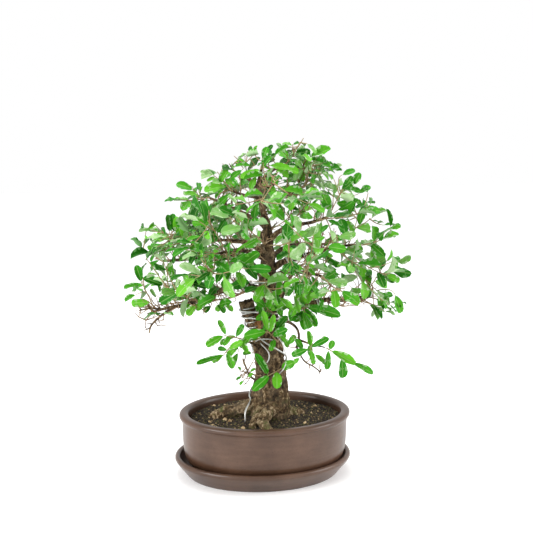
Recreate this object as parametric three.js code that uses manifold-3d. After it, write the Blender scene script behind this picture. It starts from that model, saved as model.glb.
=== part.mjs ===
// Thorny olive (Elaeagnus pungens) grown as a bonsai, in an oval stoneware pot on its saucer.
// Millimetres, +Z up. The origin is on the pot's axis at the level of the surface it stands on,
// and the pot's long axis is X. The tree is described in its own front view (x right, y away,
// z above the soil) and stands in the pot turned by TREE_TURN.
import * as THREE from 'three';
import { mergeVertices } from 'three/addons/utils/BufferGeometryUtils.js';
import Module from 'manifold-3d';

// Pot, saucer and soil
const POT_LENGTH = 250;
const POT_WIDTH = 200;
const SAUCER_LENGTH = 258.4;
const SAUCER_WIDTH = 208.4;
const SAUCER_SHIFT = new THREE.Vector3(-2.2, 3.2, 0);
const SAUCER_FLOOR = 6;
const OVAL_SEGMENTS = 24;
const POT_FOOT = SAUCER_FLOOR + 0.3;
const POT_UNDERSIDE = 10.3;
const POT_FLOOR = 16.3;
const DRAIN_RADIUS = 7;
const DRAIN_SEGMENTS = 10;
const DRAIN_PLACES = [-45, 45];
const FOOT_NOTCH = { length: 24, width: 16, height: 6, x: 94.5 };
const NET_SIZE = 30;
const NET_THICKNESS = 1.2;
const NET_HOLE = 6;
const NET_PITCH = 10;
const SOIL_LEVEL = 85;
const FIT_GAP = 0.35;

// Tree
const TREE_TURN = -THREE.MathUtils.degToRad(10.5);
const CROWN_CENTRE = new THREE.Vector3(4, 0, 215);
const CROWN_TOP = 402;
const CROWN_LEAN = 30;
const CROWN_HALF_WIDTH = 204;
const CROWN_DEPTH_SHARE = 0.8;
const TWIG_RADIUS = 0.95;
const TWIG_LENGTHS = [32, 76];
const TWIG_WANDER = 11;
const LEAF_LENGTH = 32;
const LEAF_WIDTH = 15;
const LEAF_KEEL = 1.3;
const LEAF_SPACING = 14.6;
const LAST_LEAF_PLACE = 0.96;
const BLADE_ROOM = 2.6;
const BUD_STEPS = 20;
const FIRST_BUD_STEP = { trunk: 14, branch: 5 };
const BUD_SPACING = 6;
const TWIG_TRIES = 30;
const SIDE_TWIG_TRIES = 8;
const LEAF_TRIES = 12;
const SPRAY_SEED = 5400;
const SIDE_TWIGS = [{ from: 0.35, share: 0.6 }, { from: 0.6, share: 0.55 }];
const MAIN_TWIG_BARE = 0.22;
const SIDE_TWIG_BARE = 0.25;
const THORN_SEED = 900;
const THORN_LENGTH = 10;
const THORN_RADIUS = 0.9;
const WIRE_RADIUS = 1.25;
const WIRE_PLAY = 1;
const GUY_RADIUS = 0.8;
const BALL_STEP = 3;

const UP = new THREE.Vector3(0, 0, 1);
const TURN = Math.PI * 2;
const wasm = await Module();
wasm.setup();

// The same draws every time
function seededDraws(seed) {
  let state = seed >>> 0;
  return () => {
    state = (state + 0x6d2b79f5) >>> 0;
    let mixed = state;
    mixed = Math.imul(mixed ^ (mixed >>> 15), mixed | 1);
    mixed = (mixed ^ (mixed + Math.imul(mixed ^ (mixed >>> 7), mixed | 61))) >>> 0;
    return ((mixed ^ (mixed >>> 14)) >>> 0) / 4294967296;
  };
}

// Closed skin over a row of rings with equal counts; each end is flat or runs to a pole
function skin(rings, startPole = null, endPole = null) {
  const count = rings[0].length;
  const points = rings.flat();
  const index = [];
  const at = (ring, side) => ring * count + (side % count);
  for (let ring = 0; ring < rings.length - 1; ring += 1) {
    for (let side = 0; side < count; side += 1) {
      index.push(at(ring, side), at(ring, side + 1), at(ring + 1, side + 1));
      index.push(at(ring, side), at(ring + 1, side + 1), at(ring + 1, side));
    }
  }
  const cap = (ring, pole, flip) => {
    const hub = pole ? points.push(pole) - 1 : at(ring, 0);
    const skipped = pole ? 0 : 1;
    for (let side = skipped; side < count - skipped; side += 1) {
      const pair = [at(ring, side), at(ring, side + 1)];
      index.push(hub, ...(flip ? pair.reverse() : pair));
    }
  };
  cap(0, startPole, true);
  cap(rings.length - 1, endPole, false);
  const geometry = new THREE.BufferGeometry().setFromPoints(points);
  return geometry.setIndex(index);
}

function toSolid(geometry) {
  const bare = geometry.clone();
  bare.deleteAttribute('normal');
  bare.deleteAttribute('uv');
  const merged = mergeVertices(bare, 1e-4);
  return new wasm.Manifold(new wasm.Mesh({
    numProp: 3,
    vertProperties: new Float32Array(merged.attributes.position.array),
    triVerts: new Uint32Array(merged.index.array),
  }));
}

function toGeometry(solid) {
  const mesh = solid.getMesh();
  const geometry = new THREE.BufferGeometry();
  geometry.setAttribute('position', new THREE.BufferAttribute(mesh.vertProperties, 3));
  return geometry.setIndex(new THREE.BufferAttribute(mesh.triVerts, 1));
}

function joined(geometries) {
  return toGeometry(geometries.map(toSolid).reduce((whole, solid) => whole.add(solid)));
}

function part(name, geometry, color, roughness, metalness = 0) {
  geometry.computeVertexNormals();
  const mesh = new THREE.Mesh(geometry, new THREE.MeshStandardMaterial({ color, roughness, metalness }));
  mesh.name = name;
  return mesh;
}

// Ovals: each profile point is [how far inside the outermost oval, height]
function ovalRing(length, width, inset, z) {
  return Array.from({ length: OVAL_SEGMENTS }, (_, side) => {
    const angle = (side / OVAL_SEGMENTS) * TURN;
    const x = (length / 2 - inset) * Math.cos(angle);
    return new THREE.Vector3(x, (width / 2 - inset) * Math.sin(angle), z);
  });
}

function ovalVessel(length, width, profile, bottom, floor) {
  const rings = profile.map(([inset, z]) => ovalRing(length, width, inset, z));
  return skin(rings, new THREE.Vector3(0, 0, bottom), new THREE.Vector3(0, 0, floor));
}

function saucerGeometry() {
  const profile = [
    [20, 0], [18.4, 1.2], [9.4, 12.6], [2.4, 21.4], [0, 25.4], [1.2, 29.2],
    [4, 30.3], [7, 29.5], [8.2, 27], [12, 14], [22, SAUCER_FLOOR],
  ];
  const saucer = ovalVessel(SAUCER_LENGTH, SAUCER_WIDTH, profile, 0, SAUCER_FLOOR);
  return saucer.translate(SAUCER_SHIFT.x, SAUCER_SHIFT.y, 0);
}

// The pot: a foot ring with two notches, a rounded-in base, an upright wall, a rolled lip and
// two drain holes
function potGeometry() {
  const profile = [
    [35, POT_UNDERSIDE], [34, POT_FOOT], [28, POT_FOOT], [26.5, POT_UNDERSIDE], [16.5, 17],
    [8.6, 29], [5.2, 48], [4.6, 85.4], [1.2, 86.4], [0, 89.8], [1.5, 93.1], [5, 94.4],
    [11, 94.2], [14.6, 91.3], [17, 28], [30, POT_FLOOR],
  ];
  const body = toSolid(ovalVessel(POT_LENGTH, POT_WIDTH, profile, POT_UNDERSIDE, POT_FLOOR));
  const depth = 3 * (POT_FLOOR - POT_UNDERSIDE);
  const holes = DRAIN_PLACES.map((x) =>
    new THREE.CylinderGeometry(DRAIN_RADIUS, DRAIN_RADIUS, depth, DRAIN_SEGMENTS)
      .rotateX(Math.PI / 2).translate(x, 0, POT_FLOOR - depth / 6));
  const notches = [-FOOT_NOTCH.x, FOOT_NOTCH.x].map((x) =>
    new THREE.BoxGeometry(FOOT_NOTCH.length, FOOT_NOTCH.width, FOOT_NOTCH.height)
      .translate(x, 0, POT_FOOT));
  return toGeometry([...holes, ...notches].reduce((solid, cut) => solid.subtract(toSolid(cut)), body));
}

// A square of plastic netting lies over each drain hole, under the soil
function netSolid(x, grow) {
  const plate = new THREE.BoxGeometry(NET_SIZE + grow, NET_SIZE + grow, NET_THICKNESS + grow);
  return toSolid(plate.translate(x, 0, POT_FLOOR + FIT_GAP + NET_THICKNESS / 2));
}

function netGeometry(x) {
  const openings = [-1, 1].flatMap((row) => [-1, 1].map((column) => {
    const hole = new THREE.BoxGeometry(NET_HOLE, NET_HOLE, NET_SIZE);
    return toSolid(hole.translate(x + (column * NET_PITCH) / 2, (row * NET_PITCH) / 2, POT_FLOOR));
  }));
  return toGeometry(openings.reduce((net, hole) => net.subtract(hole), netSolid(x, 0)));
}

// Soil: it follows the inside of the pot, and its top is uneven and rises to the trunk
function soilTop(x, y) {
  const reach = Math.hypot(x / 110, y / 85);
  const lumps = 0.8 * Math.sin(x * 0.11 + 1.3) * Math.cos(y * 0.13);
  const furrows = 0.6 * Math.sin((x - 2 * y) * 0.06);
  const mound = 4 * Math.exp(-5 * reach * reach) - 1.4 * reach * reach;
  return SOIL_LEVEL + lumps + furrows + mound;
}

function soilGeometry(cutters) {
  const bottom = POT_FLOOR + FIT_GAP;
  const rings = [[30.5, bottom], [17.5, 28.4]]
    .map(([inset, z]) => ovalRing(POT_LENGTH, POT_WIDTH, inset, z));
  for (const inset of [15.3, 42, 74]) {
    const ring = ovalRing(POT_LENGTH, POT_WIDTH, inset, 0);
    rings.push(ring.map((point) => point.setZ(soilTop(point.x, point.y))));
  }
  const top = new THREE.Vector3(0, 0, soilTop(0, 0));
  const soil = toSolid(skin(rings, new THREE.Vector3(0, 0, bottom), top));
  return toGeometry(cutters.reduce((solid, cut) => solid.subtract(cut), soil));
}

// Limbs are smooth curves through hand-chosen points
function splinePoint(points, t) {
  const last = points.length - 1;
  const place = Math.min(Math.max(t, 0), 1) * last;
  const i = Math.min(Math.floor(place), last - 1);
  const f = place - i;
  const p1 = points[i];
  const p2 = points[i + 1];
  const p0 = i > 0 ? points[i - 1] : p1.clone().multiplyScalar(2).sub(p2);
  const p3 = i + 2 <= last ? points[i + 2] : p2.clone().multiplyScalar(2).sub(p1);
  const blend = (a, b, c, d) => 0.5 * (2 * b + (c - a) * f + (2 * a - 5 * b + 4 * c - d) * f * f
    + (3 * b - a - 3 * c + d) * f * f * f);
  return new THREE.Vector3(
    blend(p0.x, p1.x, p2.x, p3.x),
    blend(p0.y, p1.y, p2.y, p3.y),
    blend(p0.z, p1.z, p2.z, p3.z),
  );
}

function tangentAt(points, t) {
  const step = 0.01;
  const ahead = splinePoint(points, Math.min(t + step, 1));
  return ahead.sub(splinePoint(points, Math.max(t - step, 0))).normalize();
}

// The axis that a limb runs least along fixes where its section starts
function sideReference(points) {
  const chord = points[points.length - 1].clone().sub(points[0]);
  const size = [Math.abs(chord.x), Math.abs(chord.y), Math.abs(chord.z)];
  const least = size.indexOf(Math.min(...size));
  return new THREE.Vector3(least === 0 ? 1 : 0, least === 1 ? 1 : 0, least === 2 ? 1 : 0);
}

function squareTo(vector, along) {
  return vector.clone().addScaledVector(along, -vector.dot(along)).normalize();
}

function thicknessAt(one, t) {
  const place = Math.min(Math.max(t, 0), 1) * (one.radii.length - 1);
  const i = Math.min(Math.floor(place), one.radii.length - 2);
  return one.radii[i] + (one.radii[i + 1] - one.radii[i]) * (place - i);
}

// The middle of a limb's skin, straight from ring to ring
function corePoint(one, t) {
  const place = Math.min(Math.max(t, 0), 1) * one.rings;
  const i = Math.min(Math.floor(place), one.rings - 1);
  const start = splinePoint(one.points, i / one.rings);
  return start.lerp(splinePoint(one.points, (i + 1) / one.rings), place - i);
}

function barkPoint(one, t, angle, gap = 0) {
  const along = tangentAt(one.points, t);
  const across = squareTo(one.reference, along);
  const third = along.clone().cross(across);
  const swell = 1 + one.flute * (Math.cos(3 * angle + 6 * t) + 0.6 * Math.cos(5 * angle - 9 * t));
  const radius = thicknessAt(one, t) * swell + gap;
  return splinePoint(one.points, t)
    .addScaledVector(across, radius * Math.cos(angle))
    .addScaledVector(third, radius * Math.sin(angle));
}

// A limb's skin; grown, it is the hole that the limb stands in
function limbGeometry(one, grow = 0) {
  const rings = Array.from({ length: one.rings + 1 }, (_, ring) =>
    Array.from({ length: one.sides }, (__, side) =>
      barkPoint(one, ring / one.rings, (side / one.sides) * TURN, grow)));
  rings[0].forEach((point) => point.addScaledVector(tangentAt(one.points, 0), -grow));
  rings[one.rings].forEach((point) => point.addScaledVector(tangentAt(one.points, 1), grow));
  return skin(rings);
}

function limb(name, points, radii, options = {}) {
  const vectors = points.map(([x, y, z]) => new THREE.Vector3(x, y, z));
  const thickest = Math.max(...radii);
  return {
    name,
    points: vectors,
    radii,
    reference: sideReference(vectors),
    sides: options.sides ?? (thickest < 3.5 ? 4 : 5),
    rings: options.rings ?? Math.max(2, vectors.length - 1),
    flute: options.flute ?? 0,
    thorns: options.thorns ?? 0,
  };
}

const TRUNK = limb('trunk', [
  [9, 2, -30], [9, 1, -14], [8, 0, 4], [8.5, 0, 20], [9, -1, 38], [10, -1, 55], [9, -1, 73],
  [7, -1, 91], [4, -1, 109], [3, 0, 127], [2, 0, 143], [4, 2, 160], [4, 2, 177], [4, 3, 205],
  [4, 3, 225], [4, 2, 245], [4, 1, 264], [3, 0, 280], [-2, 0, 296], [-5, 0, 314], [-8, 0, 328],
  [-8, 1, 340], [-4, 0, 363],
], [18, 24, 29, 29, 26, 23.2, 20.6, 20.2, 20.8, 19.4, 16.6, 15, 14.4, 12.4, 10, 8.4,
  6.6, 5.2, 4.6, 4.2, 3.8, 3.3, 1.7], { sides: 11, rings: 21, flute: 0.05 });

const STUB = limb('deadwood_stub', [
  [0, -1, 112], [-12, -3, 127], [-19, -4, 143], [-24, -4, 157], [-27, -4, 171],
], [9, 8.6, 8.8, 9.6, 10.4], { sides: 8, rings: 5, flute: 0.06 });

const ROOTS = [
  limb('root_left', [[0, -4, 18], [-24, -5, 14], [-42, -8, 9], [-56, -10, 7], [-72, -6, 1], [-84, 0, -10]],
    [17, 12, 9.5, 9, 7, 3], { sides: 7, flute: 0.09 }),
  limb('root_front_left', [[2, -6, 16], [-8, -28, 8], [-15, -44, 2], [-20, -58, -10]],
    [14, 8, 6, 3], { sides: 6, flute: 0.08 }),
  limb('root_front', [[8, -8, 16], [3, -30, 14], [-3, -48, 8], [2, -62, 2], [16, -70, -8]],
    [15, 9, 7.5, 6.5, 3], { sides: 7, flute: 0.08 }),
  limb('root_right', [[12, 0, 12], [36, 6, 3], [54, 14, -3], [66, 20, -10]],
    [15, 9.5, 7, 3], { sides: 6, flute: 0.07 }),
  limb('root_back', [[8, 6, 12], [4, 32, 4], [-4, 50, -3], [-9, 60, -10]],
    [15, 9, 6.5, 3], { sides: 6, flute: 0.07 }),
];

const BRANCHES = [
  limb('left_low', [
    [0, 0, 183], [-14, -5, 189], [-28, -9, 194], [-46, -15, 194], [-66, -19, 187],
    [-88, -22, 178], [-114, -22, 169], [-142, -20, 163], [-166, -18, 155],
  ], [6.6, 6, 5.4, 4.8, 4.2, 3.6, 2.9, 2.1, 1.3], { thorns: 3 }),
  limb('left_low_fork', [[-128, -21, 166], [-146, -24, 154], [-160, -22, 140], [-164, -20, 128]],
    [2.1, 1.7, 1.3, 1], { thorns: 2 }),
  limb('left_low_tip', [[-146, -20, 162], [-160, -26, 165], [-176, -32, 163]],
    [1.8, 1.4, 0.9], { thorns: 1 }),
  limb('left_main', [
    [2, 2, 200], [-10, 2, 214], [-27, 0, 229], [-46, -4, 234], [-68, -8, 233],
    [-92, -12, 235], [-120, -14, 232], [-144, -12, 230],
  ], [6, 5, 4.4, 4, 3.5, 3, 2.3, 1.6]),
  limb('left_middle', [
    [3, 2, 272], [-10, 5, 285], [-24, 8, 292], [-41, 9, 300], [-61, 9, 310], [-78, 8, 317],
  ], [3.4, 3.2, 2.8, 2.4, 2, 1.4]),
  limb('left_high', [[-6, 0, 318], [-19, -8, 321], [-32, -14, 324], [-47, -19, 331]], [2.8, 2.4, 2, 1.4]),
  limb('left_back', [[3, 3, 236], [-19, 32, 246], [-45, 56, 249], [-74, 74, 246]], [4.4, 3.6, 2.7, 1.6]),
  limb('left_front', [[2, 0, 230], [-21, -34, 246], [-42, -60, 253], [-66, -80, 251]], [4, 3.2, 2.4, 1.4]),
  limb('right_low', [
    [8, 0, 174], [31, -6, 165], [48, -11, 163], [67, -13, 169], [89, -14, 175], [115, -14, 174],
    [140, -13, 180],
  ], [6, 5, 4.4, 3.8, 3.2, 2.4, 1.6], { thorns: 2 }),
  limb('right_fork', [[20, -3, 168], [24, -9, 183], [30, -14, 199], [40, -20, 215], [54, -30, 229]],
    [4.6, 4.4, 3.6, 2.6, 1.5]),
  limb('right_main', [[6, 4, 214], [30, 4, 228], [51, 2, 234], [74, 0, 241], [98, -2, 247], [124, -2, 252]],
    [5.4, 4.2, 3.6, 3, 2.3, 1.6]),
  limb('right_upper', [[4, 0, 256], [23, -6, 273], [42, -10, 280], [65, -11, 285], [88, -8, 292]],
    [4.4, 3.5, 2.9, 2.3, 1.5]),
  limb('right_high', [[-4, 0, 302], [13, 8, 314], [34, 14, 322], [55, 17, 332]], [3.2, 2.7, 2.1, 1.4]),
  limb('right_back', [[7, 6, 230], [29, 36, 241], [58, 62, 243], [88, 80, 240]], [4.4, 3.6, 2.7, 1.6]),
  limb('right_front', [[8, -4, 206], [31, -38, 219], [53, -64, 223], [76, -84, 222]], [4.2, 3.2, 2.4, 1.4]),
  limb('top_left', [[-8, 1, 330], [-22, 10, 344], [-38, 14, 351]], [2.6, 2, 1.3]),
  limb('top_right', [[-7, 1, 340], [10, -4, 356], [29, -7, 366]], [2.4, 1.9, 1.3]),
  limb('back_middle', [[3, 4, 246], [-4, 40, 260], [2, 76, 264]], [4, 2.8, 1.5]),
  limb('back_high', [[-5, 2, 308], [-13, 34, 323], [-6, 58, 332]], [2.8, 2.1, 1.3]),
  limb('front_middle', [[3, 0, 234], [-4, -36, 254], [2, -66, 262]], [3.6, 2.6, 1.4]),
  limb('front_high', [[-6, -1, 316], [2, -30, 334], [13, -52, 342]], [2.6, 2, 1.3]),
  limb('low_left', [[-2, -8, 102], [-14, -21, 111], [-24, -31, 118], [-36, -39, 119], [-48, -45, 115]],
    [2.4, 2, 1.7, 1.5, 1.2]),
  limb('low_twig', [[-6, -8, 52], [-20, -24, 65], [-27, -30, 81], [-31, -32, 94]], [1.9, 1.4, 1.2, 0.9],
    { thorns: 1 }),
  limb('low_right', [
    [10, -4, 136], [22, -12, 142], [34, -18, 143], [45, -26, 136], [48, -30, 123], [44, -33, 110],
  ], [2.6, 2.2, 2, 1.8, 1.6, 1.2]),
  limb('low_right_out', [[47, -30, 121], [65, -38, 116], [84, -44, 113]], [1.5, 1.3, 1.1]),
  limb('low_right_bare', [[44, -33, 112], [55, -36, 92], [68, -38, 84], [78, -40, 77]], [1.3, 1.2, 1, 0.8],
    { thorns: 2 }),
];
const LIMBS = [TRUNK, STUB, ...ROOTS, ...BRANCHES];

function limbNamed(name) {
  return LIMBS.find((one) => one.name === name);
}

// Thorns: stiff spines standing out from the outer half of the bare branches
function thornsOf(one) {
  const draw = seededDraws(THORN_SEED + LIMBS.indexOf(one));
  return Array.from({ length: one.thorns }, (_, k) => {
    const t = 0.45 + (0.5 * (k + draw())) / one.thorns;
    const angle = draw() * TURN;
    const along = tangentAt(one.points, t);
    const across = squareTo(one.reference, along);
    const out = across.clone().multiplyScalar(Math.cos(angle))
      .addScaledVector(along.clone().cross(across), Math.sin(angle));
    const heading = out.addScaledVector(along, 0.5).normalize();
    const root = splinePoint(one.points, t);
    const side = squareTo(along, heading);
    const third = heading.clone().cross(side);
    const base = [0, 1, 2].map((corner) => root.clone()
      .addScaledVector(side, THORN_RADIUS * Math.cos((corner / 3) * TURN))
      .addScaledVector(third, THORN_RADIUS * Math.sin((corner / 3) * TURN)));
    return skin([base], null, root.clone().addScaledVector(heading, thicknessAt(one, t) + THORN_LENGTH));
  });
}

// Wires: a square-section tube along a list of points
function wireGeometry(path, radius) {
  let across = new THREE.Vector3(0.3, 0.5, 0.8);
  return skin(path.map((point, k) => {
    const before = path[Math.max(k - 1, 0)];
    const along = path[Math.min(k + 1, path.length - 1)].clone().sub(before).normalize();
    across = squareTo(across, along);
    const third = along.clone().cross(across);
    return [0.5, 1.5, 2.5, 3.5].map((side) => point.clone()
      .addScaledVector(across, radius * Math.cos((side / 4) * TURN))
      .addScaledVector(third, radius * Math.sin((side / 4) * TURN)));
  }));
}

// A limb as a level cuts it: circles, taken from balls along the limb
function sectionsAt(one, z) {
  const steps = 80;
  return Array.from({ length: steps + 1 }, (_, step) => {
    const point = splinePoint(one.points, step / steps);
    const radius = thicknessAt(one, step / steps) * (1 + 1.6 * one.flute);
    return { point, rise: Math.abs(point.z - z), radius };
  }).filter(({ rise, radius }) => rise < radius)
    .map(({ point, rise, radius }) => ({ point, rise, radius: Math.sqrt(radius ** 2 - rise ** 2) }));
}

// Where a wire at this height and bearing lies when it is drawn tight round trunk and stub
function tautPoint(z, degrees) {
  const trunk = sectionsAt(TRUNK, z);
  const sections = [...trunk, ...sectionsAt(STUB, z)];
  const level = trunk.reduce((best, section) => (section.rise < best.rise ? section : best));
  const axis = level.point.clone().setZ(z);
  const heading = (angle) => new THREE.Vector3(Math.cos(angle), Math.sin(angle), 0);
  const reachTo = (angle) => Math.max(...sections.map(({ point, radius }) =>
    point.clone().sub(axis).dot(heading(angle)) + radius));
  const bearing = THREE.MathUtils.degToRad(degrees);
  const reaches = Array.from({ length: 33 }, (_, k) => {
    const aside = THREE.MathUtils.degToRad(5 * (k - 16));
    return reachTo(bearing + aside) / Math.cos(aside);
  });
  return axis.addScaledVector(heading(bearing), Math.min(...reaches) + WIRE_RADIUS + WIRE_PLAY);
}

// The trunk wire stands in the soil at the front left, passes behind the trunk and climbs by
// these stations, [bearing in degrees from the right, height], three times round the stub
const TRUNK_WIRE_START = [[-28, -33, -9], [-28, -32, 4], [-27.5, -27, 16]];
const TRUNK_WIRE_STATIONS = [
  [205, 27], [180, 33], [90, 56], [0, 88], [-90, 113], [-180, 139], [-270, 142.5], [-360, 146],
  [-450, 147.5], [-540, 148], [-630, 150], [-720, 153], [-810, 156], [-900, 158], [-990, 160],
];
const WIRE_STEP = 30;
const WIRE_STUB_STEP = 12;

function trunkWireHeight(bearing) {
  const k = Math.max(1, TRUNK_WIRE_STATIONS.findIndex(([station]) => station <= bearing));
  const [fromBearing, fromZ] = TRUNK_WIRE_STATIONS[k - 1];
  const [toBearing, toZ] = TRUNK_WIRE_STATIONS[k];
  return fromZ + ((toZ - fromZ) * (fromBearing - bearing)) / (fromBearing - toBearing);
}

function trunkWirePath() {
  const path = TRUNK_WIRE_START.map(([x, y, z]) => new THREE.Vector3(x, y, z));
  const end = TRUNK_WIRE_STATIONS[TRUNK_WIRE_STATIONS.length - 1][0];
  let bearing = TRUNK_WIRE_STATIONS[0][0];
  while (bearing >= end) {
    path.push(tautPoint(trunkWireHeight(bearing), bearing));
    const turned = THREE.MathUtils.euclideanModulo(bearing, 360);
    bearing -= bearing < 0 && turned > 150 && turned < 242 ? WIRE_STUB_STEP : WIRE_STEP;
  }
  return path;
}

// Turns of wire round a limb between two places on it
function coilPath(one, fromT, toT, turns, startAngle, radius) {
  const stepsPerTurn = 6;
  const steps = Math.ceil(turns * stepsPerTurn);
  return Array.from({ length: steps + 1 }, (_, k) => {
    const t = fromT + ((toT - fromT) * k) / steps;
    const thickness = thicknessAt(one, t);
    const reach = (thickness + radius + 0.5) / Math.cos(Math.PI / stepsPerTurn);
    return barkPoint(one, t, startAngle + ((turns * k) / steps) * TURN, reach - thickness);
  });
}

function wirePaths() {
  const acrossTrunk = [-30, -60, -90, -120].map((bearing) => tautPoint(199, bearing));
  const turnsLeft = coilPath(limbNamed('left_low'), 0.2, 0.44, 5, -2.2, WIRE_RADIUS);
  const guyTop = coilPath(limbNamed('right_main'), 0.44, 0.47, 1.3, 0.4 * Math.PI, GUY_RADIUS);
  const guyFoot = coilPath(limbNamed('right_low'), 0.56, 0.59, 1.3, 0.5 * Math.PI, GUY_RADIUS);
  return {
    training_wire_trunk: { radius: WIRE_RADIUS, path: trunkWirePath() },
    training_wire_left: { radius: WIRE_RADIUS, path: [...acrossTrunk, ...turnsLeft] },
    training_wire_right: {
      radius: WIRE_RADIUS,
      path: coilPath(limbNamed('right_main'), 0.2, 0.4, 3.5, 0.6, WIRE_RADIUS),
    },
    guy_wire_right: { radius: GUY_RADIUS, path: [...guyTop, ...guyFoot] },
  };
}

// Everything that a new twig or leaf has to miss is kept as balls: centre, radius and owner
const obstacles = [];

function addBalls(points, radius, owner) {
  points.forEach((point) => obstacles.push({ point, radius, owner }));
}

function isClear(points, radius, owner) {
  return points.every((point) => obstacles.every((ball) =>
    ball.owner === owner || point.distanceTo(ball.point) > radius + ball.radius));
}

function addLimbBalls(one) {
  const gaps = one.points.slice(1).map((point, k) => point.distanceTo(one.points[k]));
  const steps = Math.ceil(gaps.reduce((sum, gap) => sum + gap) / BALL_STEP);
  for (let step = 0; step <= steps; step += 1) {
    addBalls([corePoint(one, step / steps)], thicknessAt(one, step / steps), one.name);
  }
}

function addWireBalls({ path, radius }) {
  for (let k = 0; k < path.length - 1; k += 1) {
    const steps = Math.ceil(path[k].distanceTo(path[k + 1]) / BALL_STEP);
    for (let step = 0; step < steps; step += 1) {
      addBalls([path[k].clone().lerp(path[k + 1], step / steps)], radius, 'wire');
    }
  }
}

// Places that the sprays grow to: those of the crown's outline in the front view, those of its
// face and back near the trunk, then a layer spread evenly round the dome by the golden angle
const OUTLINE_PLACES = [
  [-180, -16, 186], [-166, 16, 232], [-136, -14, 276], [-104, 18, 312], [-66, -14, 342],
  [-22, 12, 362], [30, -12, 374], [68, 14, 362], [102, -14, 326], [132, 14, 298], [156, -16, 268],
  [176, 12, 232], [176, -18, 200], [168, -22, 172], [-104, -40, 272], [138, -30, 222],
  [74, -44, 300],
];
const FACE_PLACES = [
  [-30, -88, 292], [34, -92, 262], [-28, -80, 222], [62, -84, 312], [-10, -78, 200],
  [-112, -52, 188], [96, -70, 196], [-4, 96, 296], [-62, 92, 214], [58, 96, 220],
];
const GOLDEN_TURN = TURN * 0.381966;
const CROWN_LAYER = { count: 15, width: 0.64, depth: 0.76, low: 178, high: 362, turn: 0.9 };

// The dome at a height: it leans to the right towards its top
function crownAt(z) {
  const rise = Math.min(1, Math.abs(z - CROWN_CENTRE.z) / (CROWN_TOP - CROWN_CENTRE.z));
  const middle = CROWN_CENTRE.x + CROWN_LEAN * rise * rise;
  return { middle, reach: CROWN_HALF_WIDTH * (1 - rise ** 2.2) };
}

function isInCrown({ x, y, z }) {
  const { middle, reach } = crownAt(z);
  return Math.hypot(x - middle, y / CROWN_DEPTH_SHARE) < reach;
}

function layerPlaces({ count, width, depth, low, high, turn }) {
  return Array.from({ length: count }, (_, k) => {
    const z = low + ((high - low) * (k + 0.5)) / count;
    const angle = turn + k * GOLDEN_TURN;
    const { middle, reach } = crownAt(z);
    return new THREE.Vector3(
      middle + width * reach * Math.cos(angle), depth * reach * Math.sin(angle), z);
  });
}

function crownPlaces() {
  const planned = [...OUTLINE_PLACES, ...FACE_PLACES].map(([x, y, z]) => new THREE.Vector3(x, y, z));
  return [...planned, ...layerPlaces(CROWN_LAYER)];
}

// A twig is two straight pieces: out of its root, then from its middle on turned to the light
function twigPoint(twig, t) {
  const outer = Math.max(0, t - 0.5);
  return twig.root.clone().addScaledVector(twig.heading, twig.length * t)
    .addScaledVector(twig.bend, twig.length * outer);
}

function twigTangent(twig, t) {
  return twig.heading.clone().addScaledVector(twig.bend, t > 0.5 ? 1 : 0).normalize();
}

function twigSamples(twig, from) {
  return Array.from({ length: 13 }, (_, k) => twigPoint(twig, from + ((1 - from) * k) / 12));
}

// Buds: where a twig may leave the wood, from a step of each limb's length on
const buds = [TRUNK, ...BRANCHES].flatMap((one) => {
  const first = one === TRUNK ? FIRST_BUD_STEP.trunk : FIRST_BUD_STEP.branch;
  return Array.from({ length: BUD_STEPS + 1 - first }, (_, k) => {
    const t = (first + k) / BUD_STEPS;
    return { one, t, point: corePoint(one, t), along: tangentAt(one.points, t), used: false };
  });
});

// The best free bud on the way to a place in the crown: near by, and growing on from the limb
// rather than back along it
function bestBud(goal) {
  let best = null;
  for (const bud of buds.filter(({ used }) => !used)) {
    const distance = bud.point.distanceTo(goal);
    const cosine = goal.clone().sub(bud.point).dot(bud.along) / distance;
    const cost = distance * (1.5 - 0.5 * cosine);
    if ((bud.t >= 1 ? cosine > 0.5 : cosine < 0.9) && (!best || cost < best.cost)) {
      best = { bud, cost, distance };
    }
  }
  return best;
}

function useBud({ point }) {
  buds.filter((bud) => bud.point.distanceTo(point) < BUD_SPACING).forEach((bud) => { bud.used = true; });
}

// A twig's end stands FIT_GAP clear of the bark, or of the limb's end that it carries on from
function rootOnBark({ one, t, point, along }, heading) {
  const cosine = Math.abs(heading.dot(along));
  const sine = Math.sqrt(Math.max(0, 1 - cosine * cosine));
  if (t >= 1) return point.clone().addScaledVector(along, FIT_GAP + TWIG_RADIUS * sine);
  const clear = thicknessAt(one, t) * (1 + 1.6 * one.flute) + FIT_GAP + TWIG_RADIUS * cosine;
  return point.clone().addScaledVector(heading, clear / sine);
}

function growTwig(place, owner, draw) {
  const spread = () => draw() * 2 - 1;
  for (let tries = 0; tries < TWIG_TRIES; tries += 1) {
    const goal = new THREE.Vector3(spread(), spread(), spread()).multiplyScalar(TWIG_WANDER).add(place);
    const { bud, distance } = bestBud(goal);
    const bend = new THREE.Vector3(0.2 * spread(), 0.2 * spread(), 0.25 + 0.2 * spread());
    const heading = goal.clone().sub(bud.point).normalize().addScaledVector(bend, -0.5).normalize();
    const length = Math.min(Math.max(distance, TWIG_LENGTHS[0]), TWIG_LENGTHS[1]);
    const twig = { root: rootOnBark(bud, heading), heading, bend, length };
    const start = [0, 0.05, 0.1].map((t) => twigPoint(twig, t));
    const isFree = isClear(start, TWIG_RADIUS + 0.6, bud.one.name);
    if (isFree && isClear(twigSamples(twig, 0.15), TWIG_RADIUS + 1.6, owner)) {
      addBalls(twigSamples(twig, 0), TWIG_RADIUS, owner);
      useBud(bud);
      return twig;
    }
  }
  return null;
}

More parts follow.
